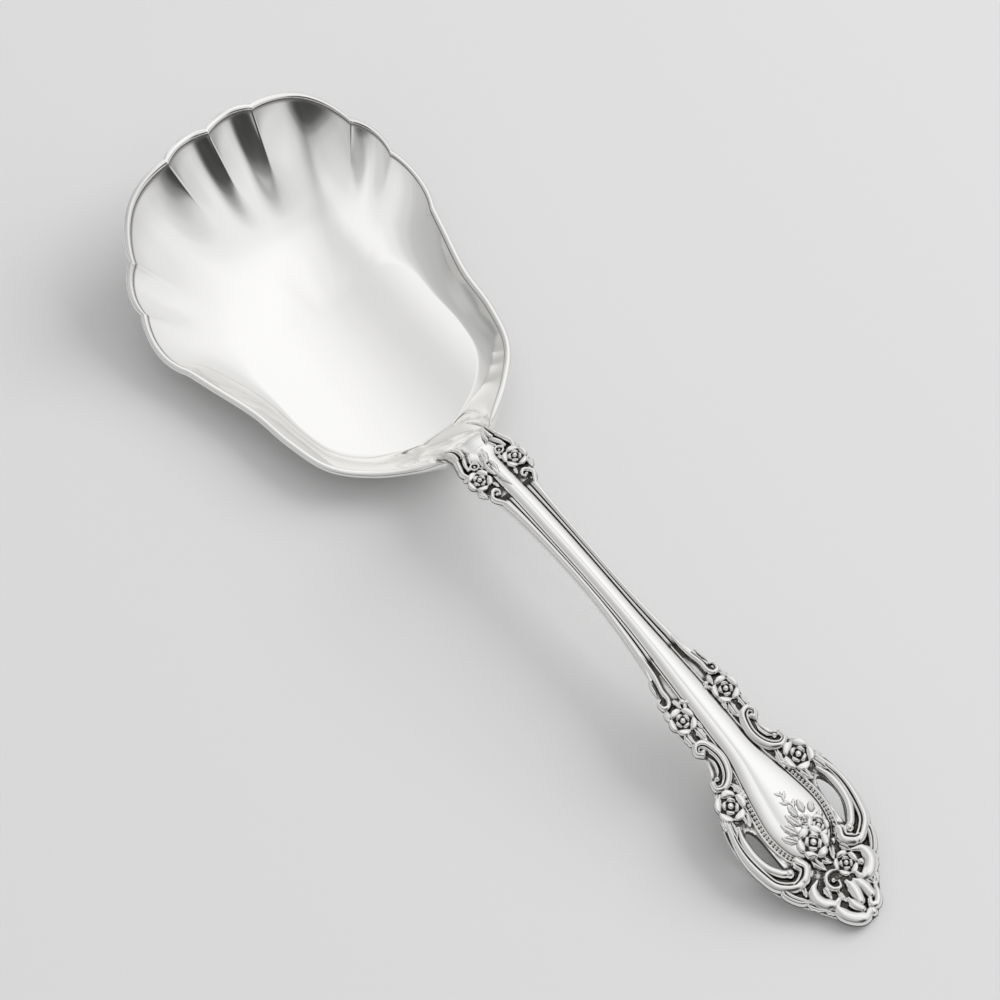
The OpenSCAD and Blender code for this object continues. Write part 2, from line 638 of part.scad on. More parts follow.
bowl();
rim_bead_wire();
handle_plate();
center_panel();
left_edge_reed();
right_edge_reed();
left_neck_leaf();
right_neck_leaf();
left_neck_rose();
right_neck_rose();
neck_bud();
left_mid_leaves();
right_mid_leaves();
left_mid_rose();
right_mid_rose();
left_waist_scroll();
right_waist_scroll();
left_shoulder_rose();
right_shoulder_rose();
left_shoulder_leaves();
right_shoulder_leaves();
left_loop_arm();
right_loop_arm();
left_bead_border();
right_bead_border();
cartouche_rose();
cartouche_spray();
terminal_flower();
left_terminal_scroll();
right_terminal_scroll();
tip_shell();
left_tip_scroll();
right_tip_scroll();
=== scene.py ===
# %% [markdown]
# # A casserole spoon in silver
# The spoon is one piece of struck silver: a polished shell bowl with a round bead on its rim, and a
# handle whose roses, leaves and scrolls stand up in relief from a plate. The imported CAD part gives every
# size and place. This script loads it as a fixed frame and lays a finer skin over each of its pieces.

import math

import bmesh
import bpy
import numpy as np
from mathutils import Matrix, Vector


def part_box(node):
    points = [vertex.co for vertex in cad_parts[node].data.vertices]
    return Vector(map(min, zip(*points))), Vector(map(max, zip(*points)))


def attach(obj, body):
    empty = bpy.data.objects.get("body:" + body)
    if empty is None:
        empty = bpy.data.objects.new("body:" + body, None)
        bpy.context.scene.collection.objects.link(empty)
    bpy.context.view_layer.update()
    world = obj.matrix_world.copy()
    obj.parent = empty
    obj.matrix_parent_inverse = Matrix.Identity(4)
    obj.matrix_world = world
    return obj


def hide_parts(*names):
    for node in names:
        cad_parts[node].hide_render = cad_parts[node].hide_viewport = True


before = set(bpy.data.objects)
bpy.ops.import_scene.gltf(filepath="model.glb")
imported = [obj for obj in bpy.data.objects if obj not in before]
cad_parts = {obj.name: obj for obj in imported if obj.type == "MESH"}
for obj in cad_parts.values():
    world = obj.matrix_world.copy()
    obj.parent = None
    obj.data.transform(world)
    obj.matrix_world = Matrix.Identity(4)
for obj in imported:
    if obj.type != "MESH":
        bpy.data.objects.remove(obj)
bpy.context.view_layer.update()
MM = 0.001
scene = bpy.context.scene

# %% [markdown]
# ## Camera
# The photograph looks down on the spoon from the handle's left, fairly steeply and with a long lens. The
# place below was found by matching the outline and the roses of both sides at once, so it is set as a
# target, two angles and a distance, which are easier to read than a position.

# %% Camera
CAMERA_TARGET = Vector((-7.2, 0.0, 5.0)) * MM
CAMERA_AZIMUTH = math.radians(51.15)
CAMERA_ELEVATION = math.radians(62.39)
CAMERA_DISTANCE = 635.6 * MM
LENS, SENSOR, NEAREST = 108, 36, 10 * MM
toward_camera = Vector((
    math.sin(CAMERA_AZIMUTH) * math.cos(CAMERA_ELEVATION),
    -math.cos(CAMERA_AZIMUTH) * math.cos(CAMERA_ELEVATION),
    math.sin(CAMERA_ELEVATION),
))
camera_data = bpy.data.cameras.new("camera")
camera_data.lens = LENS
camera_data.sensor_width = SENSOR
camera_data.clip_start = NEAREST
camera = bpy.data.objects.new("camera", camera_data)
camera.location = CAMERA_TARGET + toward_camera * CAMERA_DISTANCE
camera.rotation_euler = (-toward_camera).to_track_quat("-Z", "Y").to_euler()
scene.collection.objects.link(camera)
scene.camera = camera
print("camera at", tuple(round(v, 3) for v in camera.location))

# %% [markdown]
# ## Sizes
# These are the driving sizes of the CAD part in millimetres, so that each new piece lies exactly where its
# solid does. `x` runs from the front of the bowl, and `u` runs from 0 at the neck joint to 1 at the tip.

# %% Sizes shared with the solids
BOWL_LENGTH, BOWL_WIDTH = 97.0, 68.0
FRONT_HEIGHT, SIDE_HEIGHT = 26.0, 7.2
BOWL_WALL, REST_DRESS = 1.2, 0.1
RIM_BEAD, LOBE_SWELL = 1.7, 1.5
HANDLE_LENGTH, NECK_HEIGHT, CREST_RISE, CREST_U = 126.0, 16.0, 2.0, 0.16
NECK_WIDTH, COLLAR_WIDTH, STEM_WIDTH = 11.4, 13.4, 7.8
KNUCKLE_WIDTH, WAIST_WIDTH, SPREAD_WIDTH = 16.4, 14.0, 28.6
STEM_THICKNESS, TIP_THICKNESS, PIERCE_WIDTH = 2.6, 1.5, 3.0
PANEL_RISE, PANEL_WIDTH, CARTOUCHE_WIDTH = 1.1, 4.0, 12.4
ROSE_RISE = 1.6
TIP_X = BOWL_LENGTH + HANDLE_LENGTH
MID_X = TIP_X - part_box("handle_plate")[1].x / MM
print("origin lies", round(MID_X, 3), "mm from the front")


def mix(a, b, t):
    return a + (b - a) * t


def smooth(t):
    t = np.clip(t, 0, 1)
    return t * t * (3 - 2 * t)


def spline(rows, s):
    """Smooth curve through rows of values; s counts rows."""
    rows = np.asarray(rows, float)
    padded = np.vstack([2 * rows[0] - rows[1], rows, 2 * rows[-1] - rows[-2]])
    s = np.asarray(s, float)
    i = np.clip(np.floor(s).astype(int), 0, len(rows) - 2)
    t = (s - i)[..., None]
    a, b, c, d = padded[i], padded[i + 1], padded[i + 2], padded[i + 3]
    return 0.5 * (2 * b + (c - a) * t + (2 * a - 5 * b + 4 * c - d) * t**2 + (3 * b - a - 3 * c + d) * t**3)


def table(rows, steps=400):
    """A smooth lookup function through rows of (place, value)."""
    fine = spline(rows, np.linspace(0, len(rows) - 1, steps))
    return lambda at: np.interp(at, fine[:, 0], fine[:, 1])


def along(u):
    return BOWL_LENGTH + HANDLE_LENGTH * u


def top_at(u):
    u = np.clip(u, 0, 1)
    rise = NECK_HEIGHT + CREST_RISE * (1 - (1 - u / CREST_U) ** 2)
    q = np.clip((u - CREST_U) / (1 - CREST_U), 0, 1)
    fall = TIP_THICKNESS + (NECK_HEIGHT + CREST_RISE - TIP_THICKNESS) * (1 - q * q) ** 1.3
    return np.where(u < CREST_U, rise, fall)


def plate_top(x):
    return top_at((np.asarray(x, float) - BOWL_LENGTH) / HANDLE_LENGTH)


half_width = table([
    (0, NECK_WIDTH / 2), (0.055, COLLAR_WIDTH / 2), (0.11, mix(STEM_WIDTH, COLLAR_WIDTH, 0.35) / 2),
    (0.22, STEM_WIDTH / 2), (0.36, STEM_WIDTH / 2), (0.5, mix(STEM_WIDTH, KNUCKLE_WIDTH, 0.4) / 2),
    (0.585, KNUCKLE_WIDTH / 2), (0.65, WAIST_WIDTH / 2), (0.70, mix(WAIST_WIDTH, SPREAD_WIDTH, 0.4) / 2),
    (0.76, mix(WAIST_WIDTH, SPREAD_WIDTH, 0.88) / 2), (0.815, SPREAD_WIDTH / 2),
    (0.86, mix(WAIST_WIDTH, SPREAD_WIDTH, 0.88) / 2), (0.9, mix(WAIST_WIDTH, SPREAD_WIDTH, 0.6) / 2),
    (0.94, 0.28 * SPREAD_WIDTH), (0.98, 0.15 * SPREAD_WIDTH), (1, 0.05 * SPREAD_WIDTH)])
PANEL_END = 0.873
panel_half = table([
    (0, NECK_WIDTH / 2), (0.022, PANEL_WIDTH * 0.75), (0.05, PANEL_WIDTH / 2), (0.2, PANEL_WIDTH / 2),
    (0.4, PANEL_WIDTH / 2), (0.56, PANEL_WIDTH * 0.7), (0.67, PANEL_WIDTH * 0.8),
    (0.74, mix(PANEL_WIDTH * 0.8, CARTOUCHE_WIDTH / 2, 0.6)), (0.80, CARTOUCHE_WIDTH / 2),
    (0.842, CARTOUCHE_WIDTH * 0.43), (0.864, CARTOUCHE_WIDTH * 0.28), (PANEL_END, CARTOUCHE_WIDTH * 0.1)])
print("plate width at neck, stem and spread", [round(2 * float(half_width(u)), 1) for u in (0, 0.3, 0.815)])

# %% [markdown]
# ## Making a piece
# Every skin below starts as a flat grid from `create_grid` and is then bent into place, as sheet metal
# is. A small helper does that: the grid's own corners run from -1 to 1, so they say which row and column a
# vertex belongs to. A sheet that closes on itself has its seams merged, and a piece that stands on another
# is extruded from its seat. The patina of old silver is kept as one number per vertex, called `recess`: 1 in
# the corners that a polishing cloth never reaches and 0 on the high places. The same number also carries a
# painted reflection line at the feet of the rim bead and painted shade on the walls of the piercings.

# %% Helpers that bend a grid and finish a piece
PIECES = []


def flat_grid(columns, rows):
    """A new grid whose vertices carry a recess; returns it with its vertices and the place of each in it."""
    bm = bmesh.new()
    bm.verts.layers.float.new("recess")
    made = bmesh.ops.create_grid(bm, x_segments=columns - 1, y_segments=rows - 1, size=1.0)["verts"]
    spots = np.array([v.co[:2] for v in made])
    i = np.rint((spots[:, 0] + 1) / 2 * (columns - 1)).astype(int)
    j = np.rint((spots[:, 1] + 1) / 2 * (rows - 1)).astype(int)
    return bm, made, i, j


def place(bm, verts, points, recess):
    """Moves vertices to points in the spoon's millimetres and gives each one its recess."""
    layer = bm.verts.layers.float["recess"]
    shifted = (points - np.array([MID_X, 0, 0])) * MM
    for v, point, dark in zip(verts, shifted, recess):
        v.co = point
        v[layer] = float(dark)


def bent_sheet(points, recess, merge):
    """A closed sheet through an array of points: seams within merge join, and open ends are filled."""
    bm, verts, i, j = flat_grid(*points.shape[:2])
    place(bm, verts, points[i, j], recess[i, j])
    bmesh.ops.remove_doubles(bm, verts=bm.verts[:], dist=merge * MM)
    bmesh.ops.holes_fill(bm, edges=[e for e in bm.edges if e.is_boundary])
    bmesh.ops.recalc_face_normals(bm, faces=bm.faces[:])
    return bm


def raise_tops(bm, seats, entries):
    """Extrudes all faces of a flat grid; returns the new vertices and the entry of the seat below each."""
    below = {(round(v.co.x, 6), round(v.co.y, 6)): entry for v, entry in zip(seats, entries)}
    tops = []
    for item in bmesh.ops.extrude_face_region(bm, geom=bm.faces[:], use_keep_orig=True)["geom"]:
        if isinstance(item, bmesh.types.BMFace):
            item.smooth = True
        elif isinstance(item, bmesh.types.BMVert):
            tops.append(item)
    return tops, [below[(round(v.co.x, 6), round(v.co.y, 6))] for v in tops]


def soften(bm, limit=50):
    """Smooth shading, apart from edges sharper than the limit in degrees."""
    for face in bm.faces:
        face.smooth = True
    for edge in bm.edges:
        edge.smooth = edge.calc_face_angle(0) < math.radians(limit)


def new_object(name, bm):
    """Turns a bmesh into an object of the scene."""
    mesh = bpy.data.meshes.new(name)
    bm.to_mesh(mesh)
    bm.free()
    made = bpy.data.objects.new(name, mesh)
    scene.collection.objects.link(made)
    return made


def finish_piece(name, bm, material, replaced=()):
    """Makes a piece that rides on the spoon's one body."""
    piece = new_object(name, bm)
    piece.data.materials.append(material)
    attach(piece, "root")
    if replaced:
        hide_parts(*replaced)
    PIECES.append(piece)
    return piece


print("helpers ready, pieces made", len(PIECES))

# %% [markdown]
# ## Silver
# Polished silver is a mirror with a slightly warm white colour. What keeps it from looking like a computer's
# chrome is wear: hairlines from years of wiping, a faint unevenness in its gloss, and a dark film in every
# recess of the relief. One builder sets up all of that. The silvers of the bowl, the handle and the ornament
# differ a little in tint, gloss and hairlines, and the film is darkest on the ornament.

# %% Silver materials
CLOUD_SCALE, CLOUD_DETAIL = 60, 4
HAIR_STRETCH, HAIR_TURN, HAIR_DETAIL, HAIR_DEPTH = (60, 2600, 900), (0, 0, 0.35), 3, 0.02 * MM
UNEVEN_SHARE, UNEVEN_SHIFT = 0.35, -0.17
CLEAN_UNTIL, FILMED_FROM, FILM_ROUGHNESS = 0.12, 0.75, 0.45


def add_node(nodes, kind, **values):
    """A new node with its inputs set by name; an underscore stands for a space."""
    node = nodes.new(kind)
    for name, value in values.items():
        node.inputs[name.replace("_", " ")].default_value = value
    return node


def silver(name, tint, gloss, film, hairline):
    """A worn silver: its tint, its roughness, the colour of the film in the recesses, depth of hairlines."""
    material = bpy.data.materials.new(name)
    material.use_nodes = True
    nodes, links = material.node_tree.nodes, material.node_tree.links
    shader = nodes["Principled BSDF"]
    shader.inputs["Metallic"].default_value = 1.0
    coords = nodes.new("ShaderNodeTexCoord")
    cloudy = add_node(nodes, "ShaderNodeTexNoise", Scale=CLOUD_SCALE, Detail=CLOUD_DETAIL)
    stretch = add_node(nodes, "ShaderNodeMapping", Scale=HAIR_STRETCH, Rotation=HAIR_TURN)
    hairs = add_node(nodes, "ShaderNodeTexNoise", Scale=1.0, Detail=HAIR_DETAIL)
    bump = add_node(nodes, "ShaderNodeBump", Strength=hairline, Distance=HAIR_DEPTH)
    # The recess value darkens the colour: patina in the hollows, plus painted reflection at the bead feet and
    # painted shade on the piercing walls; noise varies it at random
    recess = nodes.new("ShaderNodeAttribute")
    recess.attribute_name = "recess"
    uneven = nodes.new("ShaderNodeMath")
    uneven.operation = "MULTIPLY_ADD"
    uneven.inputs[1].default_value = UNEVEN_SHARE
    uneven.inputs[2].default_value = UNEVEN_SHIFT
    patina_and_painted_dark = nodes.new("ShaderNodeMath")
    patina_and_painted_dark.operation = "ADD"
    patina_and_painted_dark.use_clamp = True
    colour = nodes.new("ShaderNodeValToRGB")
    for element, position, tone in zip(colour.color_ramp.elements, (CLEAN_UNTIL, FILMED_FROM), (tint, film)):
        element.position = position
        element.color = (*tone, 1)
    rough = add_node(nodes, "ShaderNodeMapRange", To_Min=gloss, To_Max=FILM_ROUGHNESS)
    for source, target in (
        (coords.outputs["Object"], cloudy.inputs["Vector"]),
        (coords.outputs["Object"], stretch.inputs["Vector"]),
        (stretch.outputs["Vector"], hairs.inputs["Vector"]),
        (hairs.outputs["Fac"], bump.inputs["Height"]),
        (bump.outputs["Normal"], shader.inputs["Normal"]),
        (cloudy.outputs["Fac"], uneven.inputs[0]),
        (recess.outputs["Fac"], patina_and_painted_dark.inputs[0]),
        (uneven.outputs["Value"], patina_and_painted_dark.inputs[1]),
        (patina_and_painted_dark.outputs["Value"], colour.inputs["Fac"]),
        (colour.outputs["Color"], shader.inputs["Base Color"]),
        (patina_and_painted_dark.outputs["Value"], rough.inputs["Value"]),
        (rough.outputs["Result"], shader.inputs["Roughness"]),
    ):
        links.new(source, target)
    return material


polished_silver = silver("polished_silver", (0.93, 0.925, 0.91), 0.07, (0.35, 0.34, 0.32), 0.04)
handle_silver = silver("handle_silver", (0.91, 0.905, 0.89), 0.12, (0.085, 0.08, 0.074), 0.08)
antiqued_silver = silver("antiqued_silver", (0.90, 0.895, 0.88), 0.15, (0.075, 0.07, 0.065), 0.06)
print("materials", [m.name for m in (polished_silver, handle_silver, antiqued_silver)])

# %% [markdown]
# ## The shell bowl
# The bowl is raised from one sheet. It could be a subdivided cage pulled into shape, but its rim is a known
# curve, so rays are drawn instead, from the middle of the floor to the rim. The floor is dished by less than
# two millimetres, as hammered work always is, and catches the light as a soft gradient. Then the wall climbs
# and ends in lobes that push outward between notches and die out down the wall. At the neck the wall leans
# back into a saddle.

# %% Rays of the bowl
# Rows from one left of the front to the neck: along, across, lift of the front, lift of the neck
RIM_ROWS = np.array([
    (0.044, -0.33, 0.99, 0), (0.036, 0, 1, 0), (0.044, 0.33, 0.99, 0), (0.082, 0.64, 0.83, 0),
    (0.16, 0.857, 0.53, 0), (0.252, 0.976, 0.22, 0), (0.345, 1, 0.02, 0), (0.449, 0.926, 0, 0),
    (0.578, 0.821, 0, 0), (0.69, 0.779, 0, 0.05), (0.788, 0.697, 0, 0.03), (0.858, 0.515, 0, 0.02),
    (0.917, 0.30, 0, 0.2), (0.96, 0.19, 0, 0.6), (1, NECK_WIDTH / BOWL_WIDTH, 0, 1)])
RIM_END = len(RIM_ROWS) - 2
MIDDLE_X = 0.515 * BOWL_LENGTH
FLOOR_Z = BOWL_WALL - REST_DRESS
# Each lobe: first row, last row, share of the swell
LOBES = ((0, 1, 0.8), (1, 3, 1.0), (3, 4, 0.85), (4, 5.6, 0.6))
NOTCH_POWER, FLUTE_POWER = 0.75, 2.0
RIM_STEP = 0.05
# Shares of the wall where the flutes start and where they begin to sharpen into notches
FLUTE_FROM, NOTCH_FROM = 0.52, 0.7
DISH = 1.7 / 26**2
FILLET = 0.07
HANDLE_SLOPE = 2 * CREST_RISE / (CREST_U * HANDLE_LENGTH)
# Where the floor ends, as a share of the way to the rim, and how steeply the wall leaves it
floor_share = table([
    (-2, 0.18), (-1, 0.16), (0, 0.15), (1, 0.16), (2, 0.18), (3, 0.235), (4, 0.35), (5, 0.52), (6, 0.68),
    (7, 0.775), (8, 0.812), (9, 0.83), (10, 0.84), (11, 0.81), (12, 0.76), (RIM_END, 0.705)])
wall_power = table([
    (-2, 2.2), (0, 2.2), (2, 2.2), (3, 2.2), (4, 2.1), (5, 1.95), (6, 1.75), (7, 1.6), (9, 1.45),
    (RIM_END, 1.4)])


def rim_point(s):
    row = spline(RIM_ROWS, s + 1)
    lift = (FRONT_HEIGHT - SIDE_HEIGHT) * row[..., 2] + (NECK_HEIGHT - SIDE_HEIGHT) * row[..., 3]
    return np.stack([row[..., 0] * BOWL_LENGTH, row[..., 1] * BOWL_WIDTH / 2, SIDE_HEIGHT + lift], -1)


def unit(v):
    return v / np.linalg.norm(v, axis=-1, keepdims=True)


def rim_normal(s):
    """Outward in plan, square to the rim."""
    a, b = rim_point(np.maximum(s - RIM_STEP, 0)), rim_point(np.minimum(s + RIM_STEP, RIM_END))
    return unit(np.stack([a[..., 1] - b[..., 1], b[..., 0] - a[..., 0], 0 * a[..., 0]], -1))


def lobe(s, power):
    """How far the rim swells between notches; a low power gives sharp notches, a high one soft flutes."""
    swell = np.zeros_like(s)
    for first, last, share in LOBES:
        arc = np.sin(np.pi * np.clip((s - first) / (last - first), 0, 1))
        swell = np.maximum(swell, share * arc**power)
    return LOBE_SWELL * swell


def dome(d, r):
    return np.sqrt(np.clip(1 - (d / r) ** 2, 0, 1))


def crown(x, y, ease=0.0):
    """Height of the crowned panel above the plate."""
    w = panel_half((np.asarray(x) - BOWL_LENGTH) / HANDLE_LENGTH) + ease
    return PANEL_RISE * dome(y, w)


NECK_CUTS = 14
WALL_STEPS, FLOOR_STEPS = 44, 16
# The lobes take closer rays than the sides
LOBED_ROWS, LOBED_RAYS, SIDE_RAYS = 4, 120, 118
stations = np.concatenate([
    np.linspace(0, LOBED_ROWS, LOBED_RAYS + 1)[:-1], np.linspace(LOBED_ROWS, RIM_END, SIDE_RAYS)])
neck_angles = np.radians(np.linspace(0, 90, NECK_CUTS + 1)[1:])
neck_y = NECK_WIDTH / 2 * np.cos(neck_angles) ** 0.6
neck_y[-1] = 0
edges = np.vstack([rim_point(stations), np.stack([
    np.full(NECK_CUTS, BOWL_LENGTH), neck_y, NECK_HEIGHT + crown(BOWL_LENGTH, neck_y)], -1)])
outward_way = np.vstack([rim_normal(stations), np.zeros((NECK_CUTS, 3))])
ray_s = np.concatenate([stations, np.full(NECK_CUTS, RIM_END)])
# How much a ray belongs to the neck: where the metal thickens, and where the wall leans into the saddle
NECK_ROWS, SADDLE_ROWS = 2, 3.5
necked = smooth((ray_s - RIM_END + NECK_ROWS) / NECK_ROWS)
rolled = smooth((ray_s - RIM_END + SADDLE_ROWS) / SADDLE_ROWS)
depths = np.concatenate([np.full(len(stations), BOWL_WALL),
    crown(BOWL_LENGTH, neck_y) + STEM_THICKNESS * np.sin(neck_angles) ** 0.5])
shares = 1 - np.linspace(0, 1, WALL_STEPS + 1) ** 1.15
floor_parts = 1 - np.linspace(0, 1, FLOOR_STEPS + 1)[1:] ** 1.8


def half_sheet():
    """Inner face of one half: rays x steps x 3."""
    f, p = floor_share(ray_s)[:, None], wall_power(ray_s)[:, None]
    share = shares[None, :]
    reach = mix(f, 1, share)
    sharp, soft = lobe(ray_s, NOTCH_POWER)[:, None], lobe(ray_s, FLUTE_POWER)[:, None]
    push = mix(soft, sharp, smooth((share - NOTCH_FROM) / (1 - NOTCH_FROM)))
    push = push * smooth((share - FLUTE_FROM) / (1 - FLUTE_FROM))
    x = mix(MIDDLE_X, edges[:, None, 0], reach) + outward_way[:, None, 0] * push
    y = edges[:, None, 1] * reach + outward_way[:, None, 1] * push
    eased = (np.sqrt(share**2 + FILLET**2) - FILLET) / (math.sqrt(1 + FILLET**2) - FILLET)
    length = np.hypot(edges[:, None, 0] - MIDDLE_X, edges[:, None, 1])
    start = FLOOR_Z + DISH * (f * length) ** 2
    level = HANDLE_SLOPE * (1 - f) * length / (edges[:, None, 2] - start)
    saddle = (2 - level) * eased - (1 - level) * eased**2
    foot = 2 * DISH * f * (1 - f) * length**2 * (1 - rolled[:, None])
    z = start + foot * share + (edges[:, None, 2] - start - foot) * mix(share**p, saddle, rolled[:, None])
    inner = floor_parts[None, :] * f
    flat = np.stack([mix(MIDDLE_X, edges[:, None, 0], inner), edges[:, None, 1] * inner,
        FLOOR_Z + DISH * (inner * length) ** 2], -1)
    return np.concatenate([np.stack([x, y, z], -1), flat], 1)


def whole(half):
    """Joins a half with its mirror image into one closed round of rays."""
    other = half[-2:0:-1] * np.array([1, -1, 1])
    return np.concatenate([half, other, half[:1]], 0)


# Rows before the neck where the flank starts and how many it takes to set in, width of the crown
FLANK_ROWS, FLANK_EASE, CROWN_REACH = 3, 2, 4.5
FLOOR_EASE, RIM_EASE = 0.25, 0.3
HAMMER_ROUNDS, HAMMER_SHARE = 50, 0.5


def planished(face):
    """Evens out the flanks of the neck, as a hammer would, and leaves the rim, floor and crown alone."""
    flank = smooth((ray_s - RIM_END + FLANK_ROWS) / FLANK_EASE)
    flank[len(stations):] = smooth(neck_y / CROWN_REACH - 0.2)
    flank = np.concatenate([flank, flank[-2:0:-1]])
    wall = smooth(shares / FLOOR_EASE) * smooth((1 - shares) / RIM_EASE)
    part = np.concatenate([wall, np.zeros(FLOOR_STEPS)])
    hold = HAMMER_SHARE * flank[:, None, None] * part[None, :, None]
    ring = face[:-1].copy()
    for _ in range(HAMMER_ROUNDS):
        ring = mix(ring, (np.roll(ring, 1, 0) + np.roll(ring, -1, 0)) / 2, hold)
    return np.concatenate([ring, ring[:1]], 0)


inner_face = planished(whole(half_sheet()))
ray_count, step_count = inner_face.shape[:2]
print("bowl rays", ray_count, "steps", step_count)

# %% [markdown]
# ## The thickness of the bowl
# Sheet metal has about the same thickness everywhere, so the outer face is the inner one moved square to the
# sheet. A Solidify modifier does that too, but at the neck the wall has to thicken into the handle, so the
# move is worked out here. Both faces become one grid, and merging doubles closes its seam and its poles. The
# dish is taken out again underneath, where the spoon rests flat.

# %% Outer face and the closed bowl
# Rays to each side that give the way round the bowl, and steps down the wall over which the neck thickens
AROUND_RAYS, NECK_STEPS = 5, 22
UNDER_FADE = 0.7
BOWL_MERGE = 0.01


def through_metal(face):
    """From the inner face through the metal: square to the sheet, and straight down at the neck."""
    ring = face[:-1]
    around = np.roll(ring, -AROUND_RAYS, 0) - np.roll(ring, AROUND_RAYS, 0)
    inward = np.empty_like(ring)
    inward[:, 1:-1] = ring[:, 2:] - ring[:, :-2]
    inward[:, 0] = ring[:, 1] - ring[:, 0]
    inward[:, -1] = ring[:, -1] - ring[:, -2]
    normal = np.cross(around, inward)
    normal /= np.maximum(np.linalg.norm(normal, axis=-1, keepdims=True), 1e-9)
    normal[:, WALL_STEPS:] = (0, 0, -1)
    sides = np.concatenate([necked, necked[-2:0:-1]])
    thick = np.concatenate([depths, depths[-2:0:-1]])
    turn = sides[:, None] * smooth(1 - np.arange(step_count) / NECK_STEPS)[None, :]
    normal = mix(normal, np.array([0, 0, -1.0]), turn[..., None])
    return unit(normal) * mix(BOWL_WALL, thick[:, None], turn)[..., None]


metal = through_metal(inner_face)
outer_face = inner_face + np.concatenate([metal, metal[:1]], 0)
dish_under = DISH * ((inner_face[..., 0] - MIDDLE_X) ** 2 + inner_face[..., 1] ** 2)
outer_face[..., 2] -= dish_under * np.concatenate([1 - shares**UNDER_FADE, np.ones(FLOOR_STEPS)])
outer_face[..., 2] = np.maximum(outer_face[..., 2], 0)
sheet = np.concatenate([inner_face[:, ::-1], outer_face], 1)

# A thin dark line lies along the foot of the rim bead, partly patina in the crease and partly a painted
# reflection of the dark horizon; it fades out towards the neck
FOOT_FILM_AND_PAINTED_REFLECTION, NEXT_FILM_AND_PAINTED_REFLECTION = 0.85, 0.12
rim_film_and_painted_reflection = np.zeros(2 * step_count)
rim_film_and_painted_reflection[[step_count - 1, step_count]] = FOOT_FILM_AND_PAINTED_REFLECTION
rim_film_and_painted_reflection[[step_count - 2, step_count + 1]] = NEXT_FILM_AND_PAINTED_REFLECTION
away_from_neck = 1 - whole(np.stack([necked] * 3, -1))[:, 0]
sheet_film_and_painted_reflection = away_from_neck[:, None] * rim_film_and_painted_reflection[None, :]

bm = bent_sheet(sheet, sheet_film_and_painted_reflection, BOWL_MERGE)
soften(bm)
bowl = finish_piece("shell_bowl", bm, polished_silver, ["bowl"])
print("bowl faces", len(bowl.data.polygons))

# %% [markdown]
# ## The bead on the rim
# The rim is rolled into a round bead. Its section is a circle that sits astride the edge of the sheet, so it
# is a grid bent round: one way along the rim, the other way round the circle. A thin dark line stays at
# its two feet, where it meets the sheet: partly patina in the crease, partly a painted reflection of the dark
# horizon.

# %% Rim bead
BEAD_CUTS, BEAD_MERGE = 28, 0.005
FOOT_FILM_AND_REFLECTION_REACH = math.radians(32)
CHORD_SPARE = 1.05
rim_rays = len(stations) - 2
order = np.concatenate([np.arange(-rim_rays, 0), np.arange(0, rim_rays + 1)]) % (ray_count - 1)
edge_in, edge_out = inner_face[order, 0], outer_face[order, 0]
across = unit(edge_out - edge_in)
upward = unit(edge_in - inner_face[order, 3])
lift = unit(upward - across * (upward * across).sum(-1, keepdims=True))
chord = np.linalg.norm(edge_out - edge_in, axis=-1) / 2
radius = np.maximum(RIM_BEAD / 2, chord * CHORD_SPARE)
start = -np.arccos(chord / radius)
hub = (edge_in + edge_out) / 2 - lift * (radius * np.sin(start))[:, None]
turns = np.linspace(0, 1, BEAD_CUTS + 1)[None, :] * (2 * np.pi)
bead = (hub[:, None] + radius[:, None, None] * (
    np.cos(turns)[..., None] * across[:, None] + np.sin(turns)[..., None] * lift[:, None]))
# The feet of the bead are darkened: patina in the crease plus a painted reflection line
foot_turns = np.stack([2 * np.pi + start, np.pi - start], -1)
to_foot = np.abs(turns[:, :, None] - foot_turns[:, None, :]).min(-1)
bead_film_and_painted_reflection = FOOT_FILM_AND_PAINTED_REFLECTION * smooth(1 - to_foot / FOOT_FILM_AND_REFLECTION_REACH)
bm = bent_sheet(bead, bead_film_and_painted_reflection, BEAD_MERGE)
soften(bm)
rim = finish_piece("rim_bead", bm, polished_silver, ["rim_bead_wire"])
print("rim faces", len(rim.data.polygons))

# %% [markdown]
# ## Relief as a height map
# Handles like this are struck between dies, so their ornament is relief: for each place on the plate there is
# one height. The script works that way too. A fine raster of heights covers the handle, each rose, leaf and
# scroll is pressed into it by a small stamp function, and the highest stamp wins, which leaves crisp valleys
# where two forms meet. The raster also remembers which piece owns each cell.

# %% Raster
GRAIN = 0.085
RASTER_HALF = 14.8
RASTER_FROM = 91.5
LEAST_RISE, PANEL_EASE = 0.03, 0.8
raster_x = np.arange(RASTER_FROM, TIP_X + 0.4, GRAIN)
raster_y = np.arange(-RASTER_HALF, RASTER_HALF + GRAIN, GRAIN)
GX, GY = np.meshgrid(raster_x, raster_y, indexing="ij")
height = np.full(GX.shape, -1.0)
owner = np.full(GX.shape, -1, int)
names = []


def window(x0, x1, y0, y1):
    a = np.clip(np.searchsorted(raster_x, (x0, x1)), 0, len(raster_x))
    b = np.clip(np.searchsorted(raster_y, (y0, y1)), 0, len(raster_y))
    return slice(a[0], a[1]), slice(b[0], b[1])


def press(name, spot, rise, on_panel=False):
    """Presses a stamp: rise is above the ground, and cells of no rise are left alone."""
    if name not in names:
        names.append(name)
    base = crown(GX[spot], GY[spot], PANEL_EASE) if on_panel else 0.0
    top = np.where(rise > LEAST_RISE, rise + base, -1.0)
    higher = top > height[spot]
    height[spot] = np.where(higher, top, height[spot])
    owner[spot] = np.where(higher, names.index(name), owner[spot])


print("raster", GX.shape)

